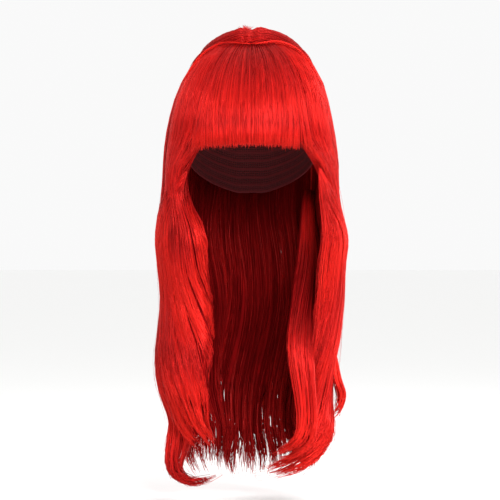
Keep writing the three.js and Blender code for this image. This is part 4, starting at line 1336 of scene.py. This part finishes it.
def build_cap(context):
    """A ball drawn out to the cap's oval, cut to its edge, and given the wall's thickness."""
    cap = context.scene.wig_cap
    deselect_all()
    bpy.ops.mesh.primitive_uv_sphere_add(segments=CAP_SEGMENTS, ring_count=CAP_RINGS, radius=1.0)
    piece = context.active_object
    piece.name = piece.data.name = "cap_net"
    mesh = piece.data
    points = np.empty(len(mesh.vertices) * 3)
    mesh.vertices.foreach_get("co", points)
    points = points.reshape(-1, 3)
    turn = np.degrees(np.arctan2(points[:, 0], -points[:, 1]))
    polar = np.arccos(np.clip(points[:, 2], -1, 1))
    edge = np.arccos((HEAD_HALF_HEIGHT - cap_edge_drop(turn)) / CAP_HEIGHT)
    polar = polar * edge / math.pi
    turn = np.radians(turn)
    shaped = np.stack([
        CAP_SIDE * np.sin(polar) * np.sin(turn),
        -CAP_LENGTH * np.sin(polar) * np.cos(turn),
        CAP_HEIGHT * np.cos(polar) - HEAD_HALF_HEIGHT,
    ], axis=1)
    low = np.argmin(points[:, 2])
    mesh.vertices.foreach_set("co", shaped.ravel())
    bpy.ops.object.mode_set(mode="EDIT")
    bpy.ops.mesh.select_all(action="DESELECT")
    bpy.ops.object.mode_set(mode="OBJECT")
    mesh.vertices[int(low)].select = True
    bpy.ops.object.mode_set(mode="EDIT")
    bpy.ops.mesh.delete(type="VERT")
    bpy.ops.object.mode_set(mode="OBJECT")
    wall = piece.modifiers.new("wall", "SOLIDIFY")
    wall.thickness = CAP_WALL * NET_THICKNESS
    wall.offset = -1
    bpy.ops.object.modifier_apply(modifier="wall")
    bpy.ops.object.shade_smooth_by_angle(angle=SMOOTH_BELOW)
    piece.data.materials.append(net_material(tuple(cap.net_colour)))
    place_piece(piece, "cap")


# Stage

FLOOR_GAP = 20 * MM
FLOOR_REACH = 30.0
FLOOR_GLOW = 0.05
AMBIENT = 0.95
VIEW_WIDTH = 0.525
VIEW_MIDDLE = (-0.001, -0.2058)
SENSOR = 36.0
PAPER_ROUGHNESS = 0.95
LIT_POINT = (0, 0, -0.15)
# Each light's azimuth, elevation, distance, width and height, and share of the key light's power
LIGHTS = {
    "key": (20, 25, 1.7, 1.0, 0.8, 1.0),
    "left rim": (-125, 15, 1.6, 0.5, 1.2, 0.1),
    "right rim": (115, 15, 1.6, 0.5, 1.2, 0.25),
}


def stage_material(colour):
    """Matt studio paper, even and without shine, so that only soft shade shows on it."""
    material, tree = new_material("Matt studio paper")
    output = add_node(tree, "ShaderNodeOutputMaterial")
    shader = add_node(
        tree, "ShaderNodeBsdfPrincipled",
        {"Base Color": (*colour, 1), "Roughness": PAPER_ROUGHNESS, "Emission Color": (1, 1, 1, 1),
         "Emission Strength": FLOOR_GLOW})
    tree.links.new(shader.outputs["BSDF"], output.inputs["Surface"])
    return material


def add_light(name, azimuth, elevation, distance, width, height, power):
    """A soft area light at a direction from the wig: azimuth 0 is in front, 90 at the right."""
    data = bpy.data.lights.new(name, "AREA")
    data.shape = "RECTANGLE"
    data.size, data.size_y, data.energy = width, height, power
    light = bpy.data.objects.new(name, data)
    bpy.context.scene.collection.objects.link(light)
    turn, rise = math.radians(azimuth), math.radians(elevation)
    offset = np.array([
        math.sin(turn) * math.cos(rise), -math.cos(turn) * math.cos(rise), math.sin(rise)])
    light.location = Vector(LIT_POINT) + Vector(offset * distance)
    light.rotation_euler = Vector(-offset).to_track_quat("-Z", "Y").to_euler()


def build_stage(context):
    stage = context.scene.wig_stage
    low = CAD_BOX[0][2] - FLOOR_GAP
    deselect_all()
    bpy.ops.mesh.primitive_plane_add(size=2 * FLOOR_REACH, location=(0, 0, low))
    floor = context.active_object
    floor.name = floor.data.name = "floor"
    bpy.ops.object.transform_apply(location=True)
    floor.data.materials.append(stage_material(tuple(stage.floor_colour)))
    camera_data = bpy.data.cameras.new("camera")
    camera_data.sensor_width = SENSOR
    camera_data.lens = SENSOR * stage.camera_distance / VIEW_WIDTH
    camera_data.clip_end = 100
    camera = bpy.data.objects.new("camera", camera_data)
    context.scene.collection.objects.link(camera)
    camera.location = (VIEW_MIDDLE[0], -stage.camera_distance, VIEW_MIDDLE[1])
    camera.rotation_euler = (math.radians(90), 0, 0)
    context.scene.camera = camera
    world = bpy.data.worlds.new("Studio")
    world.use_nodes = True
    world.node_tree.nodes["Background"].inputs["Color"].default_value = (1, 1, 1, 1)
    world.node_tree.nodes["Background"].inputs["Strength"].default_value = AMBIENT
    context.scene.world = world
    context.scene.view_settings.view_transform = "Standard"
    for name, (*place, share) in LIGHTS.items():
        add_light(name, *place, share * stage.light_power)


# Add-on

def colour_setting(name, description, hex_colour):
    return bpy.props.FloatVectorProperty(
        name=name, description=description, subtype="COLOR", size=3, min=0, max=1,
        default=linear(hex_colour))


class WigHair(bpy.types.PropertyGroup):
    fibre_colour: colour_setting("Fibre colour", "Colour of the combed fibre", "#BE1413")
    # The shade and bright colours are the ends of the tint's way, which carries painted shade and painted
    # light as well as the strands' own differences
    shade_colour: colour_setting("Shade colour", "Colour of the darkest strands", "#5E0709")
    bright_colour: colour_setting("Bright colour", "Colour of the lightest strands", "#E0231A")
    strand_width: bpy.props.FloatProperty(
        name="Strand width", description="Width of a flat strand of many fibres", unit="LENGTH",
        subtype="DISTANCE", default=0.58 * MM, min=0.3 * MM, max=4 * MM)
    strand_share: bpy.props.FloatProperty(
        name="Strand share", description="Share of the full number of strands", subtype="FACTOR",
        default=1.0, min=0.05, max=1.0)
    flyaways: bpy.props.IntProperty(
        name="Flyaways", description="Loose single strands on each lock", default=30, min=0, max=300)


class WigCap(bpy.types.PropertyGroup):
    net_colour: colour_setting("Net colour", "Colour of the cap's knitted net", "#6E141A")


class WigStage(bpy.types.PropertyGroup):
    floor_colour: colour_setting("Floor colour", "Colour of the studio paper", "#F4F4F3")
    light_power: bpy.props.FloatProperty(
        name="Light power", description="Power of the key light", unit="POWER",
        default=36, min=0, max=500)
    camera_distance: bpy.props.FloatProperty(
        name="Camera distance", description="From the camera to the head's middle", unit="LENGTH",
        subtype="DISTANCE", default=2.6, min=0.8, max=10)


class WIG_OT_stage(bpy.types.Operator):
    """Lay the floor and set up the lights and the camera"""
    bl_idname = "wig.stage"
    bl_label = "Stage"

    def execute(self, context):
        build_stage(context)
        return {"FINISHED"}


class WIG_OT_cap(bpy.types.Operator):
    """Make the net cap that carries the hair"""
    bl_idname = "wig.cap"
    bl_label = "Cap"

    def execute(self, context):
        build_cap(context)
        return {"FINISHED"}


class WIG_OT_crown(bpy.types.Operator):
    """Comb the teased crown over the top of the head"""
    bl_idname = "wig.crown"
    bl_label = "Crown"

    def execute(self, context):
        build_crown(context)
        return {"FINISHED"}


class WIG_OT_fringe(bpy.types.Operator):
    """Comb the straight fringe over the forehead"""
    bl_idname = "wig.fringe"
    bl_label = "Fringe"

    def execute(self, context):
        build_fringe(context)
        return {"FINISHED"}


class WIG_OT_left_curtain(bpy.types.Operator):
    """Comb the left curtain's front, side and back locks"""
    bl_idname = "wig.left_curtain"
    bl_label = "Left curtain"

    def execute(self, context):
        for key in ("left_front", "left_side", "left_back"):
            build_curtain_lock(key, context)
        return {"FINISHED"}


class WIG_OT_right_curtain(bpy.types.Operator):
    """Comb the right curtain's locks, with its inner lock and outer curl"""
    bl_idname = "wig.right_curtain"
    bl_label = "Right curtain"

    def execute(self, context):
        for key in ("right_front", "right_side", "right_back"):
            build_curtain_lock(key, context)
        for key in ("right_inner", "right_outer"):
            build_free_lock(key, context)
        return {"FINISHED"}


class WIG_OT_back(bpy.types.Operator):
    """Comb the middle of the back"""
    bl_idname = "wig.back"
    bl_label = "Back"

    def execute(self, context):
        build_curtain_lock("back_middle", context)
        return {"FINISHED"}


OPERATORS = (
    WIG_OT_stage, WIG_OT_cap, WIG_OT_crown, WIG_OT_fringe,
    WIG_OT_left_curtain, WIG_OT_right_curtain, WIG_OT_back,
)
SETTINGS = {"wig_hair": WigHair, "wig_cap": WigCap, "wig_stage": WigStage}


class WIG_PT_panel(bpy.types.Panel):
    bl_idname = "WIG_PT_panel"
    bl_label = "Long waved wig"
    bl_space_type = "VIEW_3D"
    bl_region_type = "UI"
    bl_category = "Wig"

    def draw(self, context):
        layout = self.layout
        for name, group in SETTINGS.items():
            box = layout.box()
            for field in group.__annotations__:
                box.prop(getattr(context.scene, name), field)
        for operator in OPERATORS:
            layout.operator(operator.bl_idname)


def register():
    for item in (*SETTINGS.values(), *OPERATORS, WIG_PT_panel):
        bpy.utils.register_class(item)
    for name, group in SETTINGS.items():
        setattr(bpy.types.Scene, name, bpy.props.PointerProperty(type=group))


def unregister():
    for name in SETTINGS:
        delattr(bpy.types.Scene, name)
    for item in (WIG_PT_panel, *reversed(OPERATORS), *reversed(list(SETTINGS.values()))):
        bpy.utils.unregister_class(item)


def main():
    register()
    bpy.ops.wig.stage()
    bpy.ops.wig.cap()
    bpy.ops.wig.crown()
    bpy.ops.wig.fringe()
    bpy.ops.wig.left_curtain()
    bpy.ops.wig.right_curtain()
    bpy.ops.wig.back()


if __name__ == "__main__":
    main()
